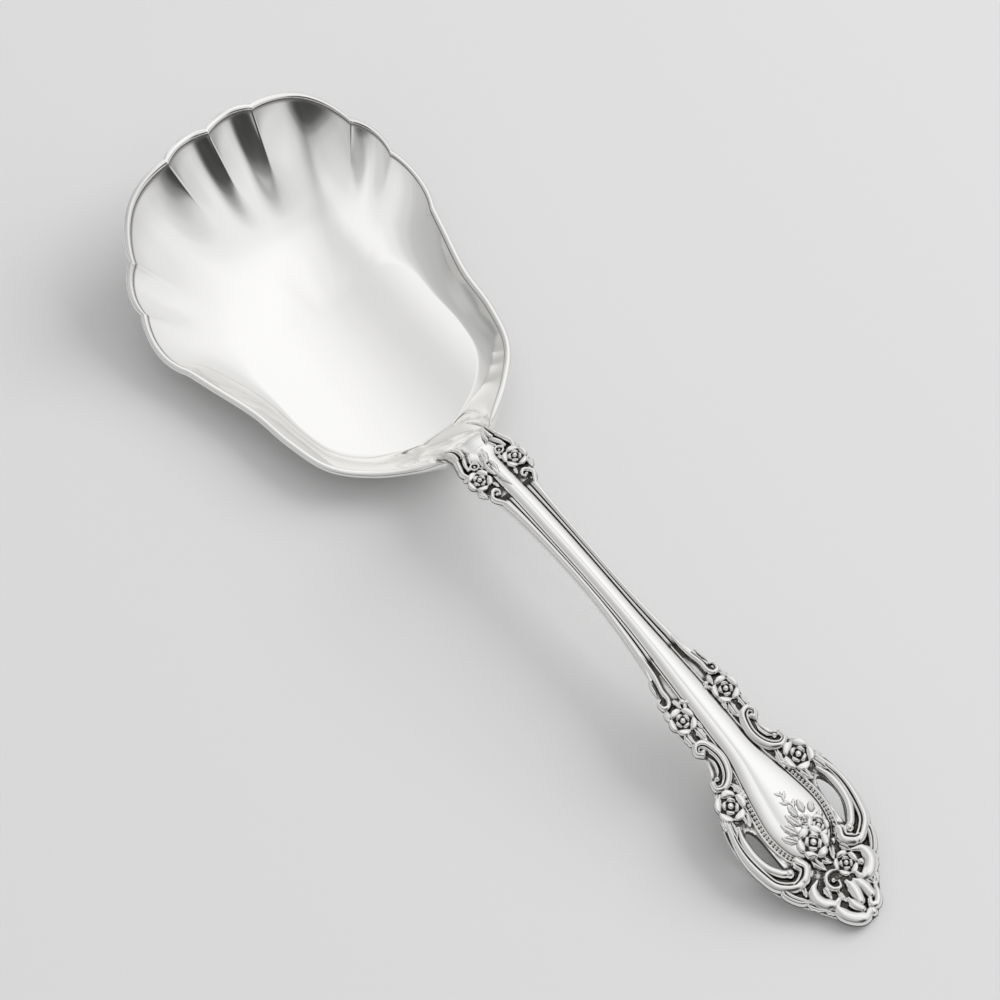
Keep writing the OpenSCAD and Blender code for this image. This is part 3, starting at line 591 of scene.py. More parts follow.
# %% [markdown]
# ## Stamps
# Four stamps are enough for this pattern. A rose has five outer petals, four inner ones and a bud, with a gap
# between the whorls that stays dark. A leaf has a vein and a lobed edge. A stroke is a rounded band along a
# curve, which can swell, taper and carry a cut line. A ball is a plain dome. Sculpting would give freer
# forms, but a stamp can be pressed on both sides alike and comes out the same each time.

# %% Stamps
# Petals in a whorl, how far out they sit, half their depth, share of the round they fill, level, turn
ROSE_WHORLS = ((5, 0.74, 0.25, 1.0, 0.74, 0), (4, 0.37, 0.14, 0.98, 0.86, 36), (1, 0.0, 0.19, 1.0, 1.0, 0))
# The bed under the petals: level and reach; a petal's level at its edge, and how far it leans outward
BED_LEVEL, BED_REACH, PETAL_EDGE, PETAL_LEAN = 0.22, 0.85, 0.55, 0.15
LEAF_NOTCHES, NOTCH_DEPTH, LEAF_ENDS = 3, 0.18, 0.75
VEIN_DEPTH, VEIN_WIDTH, VEIN_EASE = 0.5, 0.09, 0.3
# Steps of a stroke between two points, share of it that each end tapers over, level of a thin end
STROKE_STEPS, END_SHARE, END_LEVEL = 24, 0.35, 0.55
CUT_DEPTH, CUT_WIDTH = 0.55, 0.14


def rose(name, x, y, r, rise, turn=0.0, on_panel=False, petals=5):
    """Whorls of plump petals, with a dark gap round each whorl and between its petals."""
    spot = window(x - r, x + r, y - r, y + r)
    dx, dy = (GX[spot] - x) / r, (GY[spot] - y) / r
    far, round_by = np.hypot(dx, dy), np.arctan2(dy, dx)
    h = BED_LEVEL * (far < BED_REACH)
    for count, at, deep, fill, level, phase in ROSE_WHORLS:
        count = petals if count == 5 else count
        for k in range(count):
            way = math.radians(turn + phase) + 2 * math.pi * k / count
            aside = np.abs((round_by - way + np.pi) % (2 * np.pi) - np.pi) * count / (np.pi * fill)
            d = np.hypot((far - at) / deep, aside * (count > 1))
            lean = PETAL_LEAN * (far - at) / deep
            h = np.maximum(h, np.where(d < 1, level * (mix(PETAL_EDGE, 1, dome(d, 1.0)) + lean), 0))
    press(name, spot, rise * h, on_panel)


def leaf(name, x0, y0, x1, y1, width, rise, on_panel=False):
    """A pointed leaf from its root to its tip, with lobed edges and a vein."""
    length = math.hypot(x1 - x0, y1 - y0)
    spot = window(min(x0, x1) - width, max(x0, x1) + width, min(y0, y1) - width, max(y0, y1) + width)
    fx, fy = (x1 - x0) / length, (y1 - y0) / length
    dx, dy = GX[spot] - x0, GY[spot] - y0
    t = (dx * fx + dy * fy) / length
    tc = np.clip(t, 0, 1)
    s = -dx * fy + dy * fx
    lobed = 1 - NOTCH_DEPTH * np.abs(np.sin(LEAF_NOTCHES * np.pi * tc))
    w = width / 2 * np.sin(np.pi * tc**0.8) ** 0.7 * lobed
    form = dome(s, np.maximum(w, 1e-6)) * ((t > 0) & (t < 1))
    vein = VEIN_DEPTH * np.exp(-((s / (VEIN_WIDTH * width)) ** 2)) * smooth((1 - tc) / VEIN_EASE)
    press(name, spot, rise * form * (mix(LEAF_ENDS, 1, np.sin(np.pi * tc)) - vein), on_panel)


def stroke(name, points, width, rise, cuts=(), taper=(0.35, 0.35), on_panel=False):
    """A rounded band along a smooth path, thinner at its ends; cuts are shares across it."""
    rows = np.asarray(points, float)
    path = spline(rows, np.linspace(0, len(rows) - 1, STROKE_STEPS * (len(rows) - 1) + 1))
    low, high = path.min(0) - width, path.max(0) + width
    spot = window(low[0], high[0], low[1], high[1])
    gx, gy = GX[spot], GY[spot]
    best, at, lean = np.full(gx.shape, 1e9), np.zeros(gx.shape), np.zeros(gx.shape)
    ahead = unit(np.gradient(path, axis=0))
    for k, (px, py) in enumerate(path):
        dx, dy = gx - px, gy - py
        d = np.hypot(dx, dy)
        closer = d < best
        best = np.where(closer, d, best)
        at = np.where(closer, k / (len(path) - 1), at)
        lean = np.where(closer, ahead[k, 0] * dy - ahead[k, 1] * dx, lean)
    ends = mix(taper[0], 1, smooth(at / END_SHARE)) * mix(taper[1], 1, smooth((1 - at) / END_SHARE))
    half = width / 2 * ends
    h = rise * dome(best, half) * mix(END_LEVEL, 1, ends)
    for cut in cuts:
        h = h * (1 - CUT_DEPTH * np.exp(-(((lean / half - cut) / CUT_WIDTH) ** 2)))
    press(name, spot, h, on_panel)


def ball(name, x, y, r, rise):
    spot = window(x - r, x + r, y - r, y + r)
    press(name, spot, rise * dome(np.hypot(GX[spot] - x, GY[spot] - y), r))


print("petals and bud of a rose", sum(whorl[0] for whorl in ROSE_WHORLS))

# %% [markdown]
# ## Where the ornament goes
# The ornament runs in lanes between the panel and the edge of the plate. Most of it comes in pairs, so each
# cell presses the same stamps on the left and on the right. Only the end of the handle is not symmetric.

# %% Places along the handle
SIDES = (("left", -1), ("right", 1))


def edge_in_by(u, inset):
    return along(u), float(half_width(u)) - inset


def off_panel(u, step):
    return along(u), float(panel_half(u)) + step


def turned(points, side):
    return [(x, side * y) for x, y in points]


def press_leaves(name, rows, side, rise, on_panel=False):
    """Leaves given as root x, y, tip x, y and width."""
    for x0, y0, x1, y1, width in rows:
        leaf(name, x0, side * y0, x1, side * y1, width, rise, on_panel=on_panel)


print("lane beside the panel half way", round(float(half_width(0.585) - panel_half(0.585)), 2), "mm")

# %% [markdown]
# ## The neck
# Acanthus strokes grow out of the rim, climb the flank of the bowl on both sides of the joint and end at a
# rose. Bevelled curves would give the strokes too, but they would cut through each other. On the raster they
# merge as struck metal does. A bud lies on the panel between the two roses.

# %% Neck: acanthus, buds and roses
# Strokes: path, width, rise
ACANTHUS = (
    (((91.8, 6.3), (93.8, 5.3), (96.2, 5.2), (98.4, 5.9), (100.2, 6.4), (101.6, 6.0)), 1.6, 1.6),
    (((92.6, 4.9), (94.6, 3.9), (96.8, 3.8), (98.8, 4.6), (100.2, 4.9)), 1.4, 1.45),
    (((94.2, 3.4), (95.8, 2.8), (97.4, 2.7), (98.9, 3.4)), 1.1, 1.2))
NECK_LEAVES = ((101.1, 6.9, 102.6, 6.4, 1.3), (105.6, 6.7, 108.2, 5.9, 1.7),
    (105.7, 2.9, 107.6, 2.4, 1.2), (101.0, 2.4, 102.6, 2.3, 1.0))
RING_X, RING_Y, RING = 100.3, 3.3, 0.85
# Strokes of the bud: path, width, rise, cut lines
NECK_BUD = (
    (((98.2, 0.3), (99.6, -0.4), (101.3, -0.9)), 2.0, 0.95, (0.0,)),
    (((101.0, -0.4), (102.6, -0.1), (104.8, -0.5)), 1.0, 0.85, ()),
    (((101.0, -1.3), (102.8, -1.7), (104.9, -1.5)), 1.0, 0.85, ()),
    (((102.4, -0.8), (105.6, -0.9), (108.8, -0.4)), 0.9, 0.7, ()))
for label, side in SIDES:
    leaves = label + "_neck_leaf"
    for path, width, rise in ACANTHUS:
        stroke(leaves, turned(path, side), width, rise, taper=(0.4, 0.7))
    ring = [(RING_X + RING * math.cos(a), RING_Y + RING * math.sin(a)) for a in np.linspace(0, 5.8, 8)]
    stroke(leaves, turned(ring, side), 0.8, 1.15, taper=(0.9, 0.9))
    ball(leaves, RING_X, side * RING_Y, 0.42, 0.9)
    press_leaves(leaves, NECK_LEAVES, side, 1.15)
    rose(label + "_neck_rose", 103.8, side * 4.7, 2.8, ROSE_RISE, 18 * side)
for path, width, rise, cuts in NECK_BUD:
    stroke("neck_bud", path, width, rise, cuts, on_panel=True)
print("pieces so far", len(names))

# %% [markdown]
# ## Half way along
# The double reeds of the stem end in small curls. Behind them a rose sits on each side of the panel, with
# leaves round it and three berries at its foot, so the handle widens in steps and not all at once.

# %% Half way: reed ends, roses and leaves
# Where the reeds leave the edge, and how they curl up: at the neck and half way
NECK_CURL = [edge_in_by(0.15, 0.85), edge_in_by(0.118, 0.9), (109.3, 5.2), (108.0, 4.7), (107.5, 3.8),
    (108.2, 3.1), (109.1, 3.4)]
MID_CURL = [edge_in_by(0.455, 0.95), edge_in_by(0.495, 1.2), (162.8, 5.1), (164.9, 5.2), (166.2, 6.0),
    (166.0, 7.1), (164.7, 7.3), (164.2, 6.5)]
PANEL_LINE = [off_panel(u, 0.3) for u in np.linspace(0.46, 0.735, 9)]
MID_LEAVES = ((165.6, 4.6, 168.2, 4.2, 1.6), (166.4, 7.0, 168.8, 8.0, 1.6), (172.4, 7.0, 176.2, 7.0, 2.3),
    (172.6, 4.5, 176.4, 4.2, 2.2), (171.6, 3.6, 173.8, 3.2, 1.3))
SPUR = [(160.0, 6.0), (161.6, 6.3), (163.4, 6.6)]
BERRIES = ((167.0, 3.2, 0.7), (168.1, 3.3, 0.55), (167.6, 2.6, 0.55))
for label, side in SIDES:
    ends = label + "_reed_ends"
    stroke(ends, turned(NECK_CURL, side), 1.2, 1.15, taper=(0.9, 0.5))
    ball(ends, 108.7, side * 3.9, 0.5, 1.05)
    stroke(ends, turned(MID_CURL, side), 1.25, 1.2, taper=(0.9, 0.5))
    stroke(ends, turned(PANEL_LINE, side), 0.5, 0.6, taper=(0.9, 0.9))
    stroke(ends, turned(SPUR, side), 0.8, 0.9)
    leaves = label + "_mid_leaves"
    press_leaves(leaves, MID_LEAVES, side, 1.25)
    for x, y, r in BERRIES:
        ball(leaves, x, side * y, r, 1.0)
    rose(label + "_mid_rose", 170.3, side * 5.7, 3.0, ROSE_RISE, 30 * side)
print("pieces so far", len(names))

# %% [markdown]
# ## The waist
# Behind the roses the outline narrows, and a C scroll fills each hollow. One broad stroke with a cut line
# along it reads as rolled metal, which two thin strokes side by side would not.

# %% Waist: a C scroll with its back to the panel
C_SCROLL = [(178.0, 6.7), (177.0, 7.5), (175.9, 6.7), (176.4, 5.3), (178.2, 4.5), (180.4, 4.2),
    (182.7, 4.7), (184.5, 5.9), (185.4, 7.6), (184.8, 9.0), (183.5, 8.9)]
INNER_CURL = [(179.0, 6.2), (180.6, 6.0), (182.2, 6.5), (183.2, 7.4)]
for label, side in SIDES:
    scroll = label + "_waist_scroll"
    stroke(scroll, turned(C_SCROLL, side), 2.4, 1.5, (0.3 * side,), taper=(0.6, 0.6))
    ball(scroll, 177.6, side * 6.4, 0.7, 1.3)
    stroke(scroll, turned(INNER_CURL, side), 0.9, 1.0)
    ball(scroll, 183.4, side * 7.6, 0.65, 1.25)
print("pieces so far", len(names))

# %% [markdown]
# ## The shoulders
# Where the handle spreads, the largest of the paired roses stand on the roots of the loops. Their leaves are
# pressed first, and the rose covers their roots because it is higher.

# %% Shoulders: roses and leaves
SHOULDER_LEAVES = (
    (185.6, 6.0, 189.8, 5.0, 2.0), (187.4, 5.2, 190.6, 6.2, 1.3), (185.6, 9.2, 187.6, 11.2, 1.8),
    (191.4, 7.5, 194.8, 8.4, 2.3), (191.2, 11.0, 195.0, 12.0, 2.2), (190.2, 12.0, 192.6, 12.9, 1.4))
for label, side in SIDES:
    press_leaves(label + "_shoulder_leaves", SHOULDER_LEAVES, side, 1.3)
    rose(label + "_shoulder_rose", 189.2, side * 9.0, 3.4, ROSE_RISE, -12 * side)
print("pieces so far", len(names))

# %% [markdown]
# ## The loops
# Each piercing is framed by two reeds, which leave the shoulder rose, follow the edge and roll up into one
# volute beside the cartouche. A third, fatter stroke is the body of the volute. The left one rolls a little
# further in than the right one.

# %% Loops: reeds and volutes
VOLUTE_ROLL = 0.4
OUTER_ARM = [edge_in_by(0.752, 1.3), edge_in_by(0.785, 1.2), edge_in_by(0.815, 1.15), edge_in_by(0.848, 1.25),
    edge_in_by(0.872, 1.5), (209.0, 8.7)]
INNER_ARM = [(193.4, 10.4), (195.8, 11.3), (199.4, 11.6), (202.8, 10.9), (205.3, 9.3), (206.2, 8.2)]
for label, side in SIDES:
    arm = label + "_loop_arm"
    roll = VOLUTE_ROLL * side
    outer = OUTER_ARM + [(208.8, 6.8 + roll), (207.2, 5.2 + roll), (205.5, 5.6 + roll)]
    volute = [(209.0, 8.2), (208.7, 6.6 + roll), (207.3, 5.2 + roll), (205.8, 5.7 + roll)]
    stroke(arm, turned(outer, side), 2.6, 1.6, (-0.35 * side,), taper=(0.6, 1.0))
    stroke(arm, turned(INNER_ARM, side), 2.0, 1.45, taper=(0.5, 0.9))
    stroke(arm, turned(volute, side), 3.1, 1.8, (-0.3 * side,), taper=(0.7, 0.95))
    ball(arm, 206.4, side * 7.9, 1.1, 1.7)
print("pieces so far", len(names))

# %% [markdown]
# ## Bead borders
# A row of small beads parts the cartouche from the loops. Its line is the outline of the panel moved outward,
# and the beads are set by the length along it, so that their gaps stay even where the line bends.

# %% Bead borders beside the cartouche
BEAD, BEAD_STEP, BEAD_RISE, BEAD_OFFSET, FIRST_BEAD = 0.8, 0.88, 0.9, 0.72, 0.3
# The lips beside the row and the lane under it: how far from the panel, width, rise, thickness of the ends
BORDER_STROKES = ((0.16, 0.36, 0.6, 0.8), (1.42, 0.7, 0.6, 0.8), (BEAD_OFFSET, 1.1, 0.12, 0.9))
STROKE_EVERY = 25
border_u = np.linspace(0.738, 0.868, 300)
border = np.stack([along(border_u), panel_half(border_u)], -1)
ahead = unit(np.gradient(border, axis=0))
outward = np.stack([-ahead[:, 1], ahead[:, 0]], -1)
bead_line = border + outward * BEAD_OFFSET
run = np.concatenate([[0], np.cumsum(np.linalg.norm(np.diff(bead_line, axis=0), axis=1))])
bead_places = [bead_line[np.searchsorted(run, step)] for step in np.arange(FIRST_BEAD, run[-1], BEAD_STEP)]
for label, side in SIDES:
    row = label + "_bead_border"
    for offset, width, rise, thin in BORDER_STROKES:
        line = (border + outward * offset)[::STROKE_EVERY]
        stroke(row, turned(line, side), width, rise, taper=(thin, thin))
    for x, y in bead_places:
        ball(row, x, side * y, BEAD / 2, BEAD_RISE)
print("beads a side", len(bead_places))

# %% [markdown]
# ## The bouquet
# A rose, a smaller one and a bud lie on the end of the cartouche, with a spray of leaves. The panel is
# crowned, so these stamps are pressed on top of its curve instead of on the flat plate.

# %% Bouquet on the cartouche
SPRAY = "cartouche_spray"
SPRAY_LEAVES = (
    (201.6, -1.6, 198.0, -3.4, 2.0), (200.4, -0.2, 197.0, -1.4, 1.9), (198.8, 2.2, 196.0, 2.8, 1.7),
    (199.6, 3.6, 197.6, 5.0, 1.7), (201.6, 3.6, 200.2, 5.6, 1.6), (202.6, -2.8, 200.0, -4.8, 1.8),
    (198.8, 0.6, 196.0, 0.2, 1.6))
TWIG = [(198.4, 0.8), (196.4, 1.2), (194.6, 0.5), (192.8, 0.9)]
TWIG_LEAVES = (
    (196.8, 1.1, 195.4, 2.3, 0.9), (195.8, 0.7, 194.4, -0.6, 0.9), (194.4, 0.5, 193.2, 1.7, 0.8),
    (193.6, 0.6, 192.4, -0.3, 0.8))
rose("cartouche_rose", 204.6, -0.3, 3.5, 1.4, 10, on_panel=True, petals=6)
rose(SPRAY, 202.6, 2.8, 2.4, 1.15, 0, on_panel=True)
rose(SPRAY, 200.4, 1.2, 1.6, 0.9, 30, on_panel=True)
press_leaves(SPRAY, SPRAY_LEAVES, 1, 0.75, on_panel=True)
stroke(SPRAY, TWIG, 0.5, 0.4, on_panel=True)
press_leaves(SPRAY, TWIG_LEAVES, 1, 0.5, on_panel=True)
print("pieces so far", len(names))

# %% [markdown]
# ## The end of the handle
# A flower sits between two crescents, with a curl beside it and a fan of petals at the tip. Nothing here is
# symmetric, so each stroke has a path of its own. Plump strokes without a cut line look cast, and the dark
# gaps between them draw the lines.

# %% Terminal: flower, scrolls and the fan at the tip
RIGHT_SCROLL, LEFT_SCROLL, FAN = "right_terminal_scroll", "left_terminal_scroll", "tip_shell"
RIGHT_CRESCENT = [(210.0, 5.4), (211.1, 7.2), (213.4, 7.4), (215.2, 5.7), (215.3, 3.7), (214.2, 3.2)]
LEFT_CRESCENT = [(210.7, -4.4), (211.5, -6.0), (213.2, -6.8), (215.2, -6.0), (216.2, -4.4), (216.0, -3.2)]
LEFT_CURL = [(211.4, 0.5), (210.8, -0.9), (211.1, -2.4), (212.4, -3.2), (213.9, -2.7), (214.3, -1.3),
    (213.2, -0.7)]
FAN_PETALS = (
    ([(214.2, 0.4), (216.2, 0.7), (218.6, 0.2)], 2.9),
    ([(214.8, 1.8), (216.8, 2.7), (218.9, 2.9)], 2.7),
    ([(217.0, -1.5), (218.6, -1.4), (220.2, -0.6)], 2.2))
FAN_EDGE = [(216.3, -3.2), (217.3, -4.5), (219.3, -4.1), (221.1, -2.6), (221.9, -0.8), (221.3, 0.5)]
FAN_CURL = [(218.2, 4.6), (220.0, 3.8), (221.1, 2.5), (220.6, 1.5), (219.7, 1.9)]
TIP_CURL = [edge_in_by(0.877, 3.2), edge_in_by(0.883, 1.3), edge_in_by(0.898, 0.8), edge_in_by(0.915, 1.1),
    edge_in_by(0.921, 2.2)]
TIP_LEAVES = ((212.6, 8.9, 216.2, 6.8, 2.0), (215.6, 6.8, 218.4, 4.8, 1.8))
LEFT_LEAVES = ((206.6, -2.6, 210.2, -1.4, 2.4), (207.4, -0.9, 209.8, 0.4, 1.9),
    (208.2, -3.6, 209.6, -5.4, 1.6), (209.6, -7.4, 212.0, -8.2, 1.7))
RIGHT_LEAVES = ((206.6, 2.6, 209.4, 1.2, 2.0), (207.6, 4.0, 210.0, 5.2, 1.9),
    (214.4, 6.6, 217.4, 5.4, 2.2), (214.4, 2.6, 217.0, 4.0, 1.7))
FAN_LEAVES = ((215.2, 3.6, 218.0, 5.0, 2.0), (214.6, -2.4, 217.4, -2.2, 1.7))
press_leaves(LEFT_SCROLL, LEFT_LEAVES, 1, 1.25)
press_leaves(RIGHT_SCROLL, RIGHT_LEAVES, 1, 1.25)
stroke(RIGHT_SCROLL, RIGHT_CRESCENT, 3.1, 1.7, taper=(0.35, 0.45))
ball(RIGHT_SCROLL, 212.9, 5.4, 0.9, 1.35)
stroke(LEFT_SCROLL, LEFT_CRESCENT, 2.8, 1.65, taper=(0.35, 0.45))
leaf(LEFT_SCROLL, 212.3, -4.2, 215.2, -4.2, 2.0, 1.35)
stroke(LEFT_SCROLL, LEFT_CURL, 1.35, 1.5, taper=(0.5, 0.6))
ball(LEFT_SCROLL, 212.5, -1.6, 0.65, 1.35)
rose("terminal_flower", 211.4, 2.7, 2.7, ROSE_RISE, 24)
for path, width in FAN_PETALS:
    stroke(FAN, path, width, 1.55, taper=(0.45, 0.9))
press_leaves(FAN, FAN_LEAVES, 1, 1.3)
stroke(FAN, FAN_EDGE, 2.9, 1.6, taper=(0.35, 0.5))
stroke(FAN, FAN_CURL, 2.0, 1.5, taper=(0.6, 0.7))
ball(FAN, 221.9, 0.9, 1.0, 1.3)
for label, side in SIDES:
    curl = label + "_tip_scroll"
    stroke(curl, turned(TIP_CURL, side), 2.0, 1.3, (0.0,))
    press_leaves(curl, TIP_LEAVES, side, 1.15)
print("relief pieces", len(names), "cells", int((owner >= 0).sum()))

# %% [markdown]
# ## Settling the cells
# Where stamps overlap, specks of a lower one can peek out between higher ones, and two cells of one piece can
# touch at a corner only. Neither makes a sound solid: specks would be loose crumbs, and at a bare corner four
# walls would share one edge. Specks go to the piece that surrounds them, and a bare corner is filled with one
# of the cells beside it. The heights stay as they are.

# %% Settle the cells
SPECK_CELLS, CORNER_ROUNDS = 60, 20


def settle_specks():
    """Walks over each patch of cells and hands small ones to the neighbour with the longest border."""
    seen = owner < 0
    handed = 0
    for first in np.argwhere(owner >= 0).tolist():
        if seen[first[0], first[1]]:
            continue
        piece, patch, beside = owner[first[0], first[1]], [], []
        to_visit = [tuple(first)]
        seen[first[0], first[1]] = True
        while to_visit:
            i, j = to_visit.pop()
            patch.append((i, j))
            for cell in ((i + 1, j), (i - 1, j), (i, j + 1), (i, j - 1)):
                if not (0 <= cell[0] < owner.shape[0] and 0 <= cell[1] < owner.shape[1]):
                    continue
                if owner[cell] != piece:
                    beside.append(int(owner[cell]))
                elif not seen[cell]:
                    seen[cell] = True
                    to_visit.append(cell)
        if len(patch) < SPECK_CELLS:
            handed += 1
            for cell in patch:
                owner[cell] = max(sorted(set(beside)), key=beside.count)
    return handed


def fill_corners():
    """Joins cells of one piece that touch at a corner only; returns how many it found."""
    near, far, below, beside = owner[:-1, :-1], owner[1:, 1:], owner[1:, :-1], owner[:-1, 1:]
    bare = (near == far) & (near >= 0) & (below != near) & (beside != near)
    below[bare] = near[bare]
    crossed = (below == beside) & (below >= 0) & (near != below) & (far != below)
    near[crossed] = below[crossed]
    return int(bare.sum() + crossed.sum())


specks = settle_specks()
corners = [fill_corners() for _ in range(CORNER_ROUNDS)]
print("specks handed over", specks, "corners filled", corners[0], "left", corners[-1])

# %% [markdown]
# ## Where the dark film stays
# A cloth only reaches what stands out. The heights are first evened out a little, as wear does. Blurring the
# height map gives the level of the neighbourhood, and a place that lies below its neighbourhood is a recess.
# That difference is what the silver material reads.

# %% Recess map
WORN_SHARE = 0.45
CLOTH_REACH, FILM_DEPTH = 0.4, 0.32


def blur(values, reach):
    """Three passes of a running mean, close to a soft round brush."""
    cells = max(1, int(round(reach / GRAIN)))
    for _ in range(3):
        for axis in (0, 1):
            border = [(cells + 1, cells) if a == axis else (0, 0) for a in (0, 1)]
            padded = np.pad(values, border, mode="edge")
            total = np.cumsum(padded, axis=axis)
            upper = np.take(total, range(2 * cells + 1, total.shape[axis]), axis=axis)
            lower = np.take(total, range(0, total.shape[axis] - 2 * cells - 1), axis=axis)
            values = (upper - lower) / (2 * cells + 1)
    return values


raster_u = (GX - BOWL_LENGTH) / HANDLE_LENGTH
on_panel_cells = (np.abs(GY) < panel_half(raster_u)) & (raster_u >= 0) & (raster_u < PANEL_END)
ground = np.where(on_panel_cells, crown(GX, GY), 0.0)
surface = np.maximum(height, ground)
surface = mix(surface, blur(surface, GRAIN), WORN_SHARE)
sunk = blur(surface, CLOTH_REACH) - surface
recess_map = np.clip(sunk / FILM_DEPTH, 0, 1)
print("recess mean on relief", round(float(recess_map[owner >= 0].mean()), 3))

# %% [markdown]
# ## From raster to pieces
# Each piece takes its own cells of the raster: a grid of their size is made, the faces that belong to other
# pieces are deleted, and the rest is extruded, which gives a closed piece with a seat on the plate and its
# relief on top.

# %% Lay the relief pieces
SEAT, THINNEST = 0.06, 0.01
plate_level = plate_top(GX)
# Before the joint the ground is the saddle of the bowl: a mean of its points, weighted by nearness
SADDLE_RAYS, SADDLE_STEPS, NEAR_BIAS = 60, 30, 0.02
neck_ray = (ray_count - 1) // 2
saddle_points = inner_face[neck_ray - SADDLE_RAYS : neck_ray + SADDLE_RAYS + 1, :SADDLE_STEPS].reshape(-1, 3)
for row in np.where(raster_x < BOWL_LENGTH)[0]:
    near = (saddle_points[:, 0] - raster_x[row]) ** 2 + (saddle_points[:, 1] - raster_y[:, None]) ** 2
    weight = 1 / (near + NEAR_BIAS) ** 3
    plate_level[row] = (weight * saddle_points[:, 2]).sum(1) / weight.sum(1)


def lay_relief(name, material, replaced):
    """Makes the piece from its cells; returns its number of faces."""
    cells = owner == names.index(name)
    rows, columns = np.where(cells)
    i0, j0 = rows.min(), columns.min()
    i1, j1 = min(rows.max() + 2, GX.shape[0]), min(columns.max() + 2, GX.shape[1])
    bm, verts, i, j = flat_grid(i1 - i0, j1 - j0)
    spot = {v: (a, b) for v, a, b in zip(verts, i + i0, j + j0)}
    spare = [f for f in bm.faces if not cells[min(spot[v] for v in f.verts)]]
    bmesh.ops.delete(bm, geom=spare, context="FACES")
    seats = bm.verts[:]
    where = [spot[v] for v in seats]
    tops, top_where = raise_tops(bm, seats, where)
    for group, places, is_top in ((seats, where, False), (tops, top_where, True)):
        a, b = np.array(places).T
        rise = surface[a, b] if is_top else np.minimum(ground[a, b], surface[a, b] - THINNEST) - SEAT
        points = np.stack([GX[a, b], GY[a, b], plate_level[a, b] + rise], -1)
        place(bm, group, points, recess_map[a, b] if is_top else np.ones(len(a)))
    bmesh.ops.recalc_face_normals(bm, faces=bm.faces[:])
    return len(finish_piece(name + "_relief", bm, material, replaced).data.polygons)


total = 0
for name in names:
    plain = "arm" in name or "bead" in name or "reed" in name
    material, slot = (handle_silver, "handle_silver") if plain else (antiqued_silver, "antiqued_silver")
    total += lay_relief(name, material, [name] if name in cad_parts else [])
print("relief faces", total)

# %% [markdown]
# ## The plate of the handle
# The plate is a strip with a rounded edge and a soft underside. It could be a curve with a bevel, but its
# width and thickness both change along the way, so it is one grid bent round the section. Its top reads the
# same recess map as the relief that stands on it.

# %% Handle plate
PLATE_ROWS, TOP_CUTS, UNDER_CUTS, PLATE_MERGE = 460, 84, 24, 0.002
STEM_ROUND, SPREAD_ROUND = 0.6, 0.3
# Where along u the plate thins and where its edge gets crisper: start, length
THINNING, CRISPING = (0.3, 0.5), (0.42, 0.12)
# Least depth of the edge in roundings, and how far round the edge the film reaches
EDGE_SPARE, FILMED_ROUND = 1.02, 0.3
plate_u = np.linspace(0, 1, PLATE_ROWS)


def recess_at(x, y):
    i = np.clip(np.rint((x - raster_x[0]) / GRAIN).astype(int), 0, GX.shape[0] - 1)
    j = np.clip(np.rint((y - raster_y[0]) / GRAIN).astype(int), 0, GX.shape[1] - 1)
    return recess_map[i, j]


def plate_section():
    """Points round the section for each row of the plate, and the film at each point."""
    w = half_width(plate_u)[:, None]
    t = mix(STEM_THICKNESS, TIP_THICKNESS, smooth((plate_u - THINNING[0]) / THINNING[1]))[:, None]
    edge_round = mix(STEM_ROUND, SPREAD_ROUND, smooth((plate_u - CRISPING[0]) / CRISPING[1]))[:, None]
    v = np.sin(np.pi / 2 * np.linspace(-1, 1, TOP_CUTS + 1))[None, :]
    over = np.clip((np.abs(v) * w - (w - edge_round)) / edge_round, 0, 1)
    x = along(plate_u)[:, None] + 0 * v
    level = top_at(plate_u)[:, None]
    top = np.stack([x, v * w, level - edge_round * (1 - np.sqrt(1 - over**2))], -1)
    a = np.linspace(0, np.pi, UNDER_CUTS + 1)[None, 1:-1]
    side = np.sign(np.cos(a)) * np.abs(np.cos(a)) ** 0.6
    belly = np.maximum(t * np.sin(a) ** 0.5, edge_round * EDGE_SPARE)
    under = np.stack([along(plate_u)[:, None] + 0 * a, side * w, level - belly], -1)
    points = np.concatenate([top, under, top[:, :1]], 1)
    dark = np.zeros(points.shape[:2])
    dark[:, : TOP_CUTS + 1] = recess_at(top[..., 0], top[..., 1]) * (over < FILMED_ROUND)
    return points, dark


plate_points, plate_dark = plate_section()
bm = bent_sheet(plate_points, plate_dark, PLATE_MERGE)
plate = finish_piece("handle_plate_skin", bm, handle_silver, ["handle_plate"])
print("plate rows", PLATE_ROWS, "points round its section", plate_points.shape[1])

# %% [markdown]
# ## The piercings
# A silversmith saws the two teardrops out of the plate. Here an outline is extruded into a cutter and a
# Boolean takes it out of the plate. Its result then becomes the plate's own mesh, so nothing depends on the
# cutter any more and the sharp edges of the openings can be marked. No cloth reaches into a sawn opening, so
# its walls keep their film, and the same darkening paints the shade that falls inside the openings.

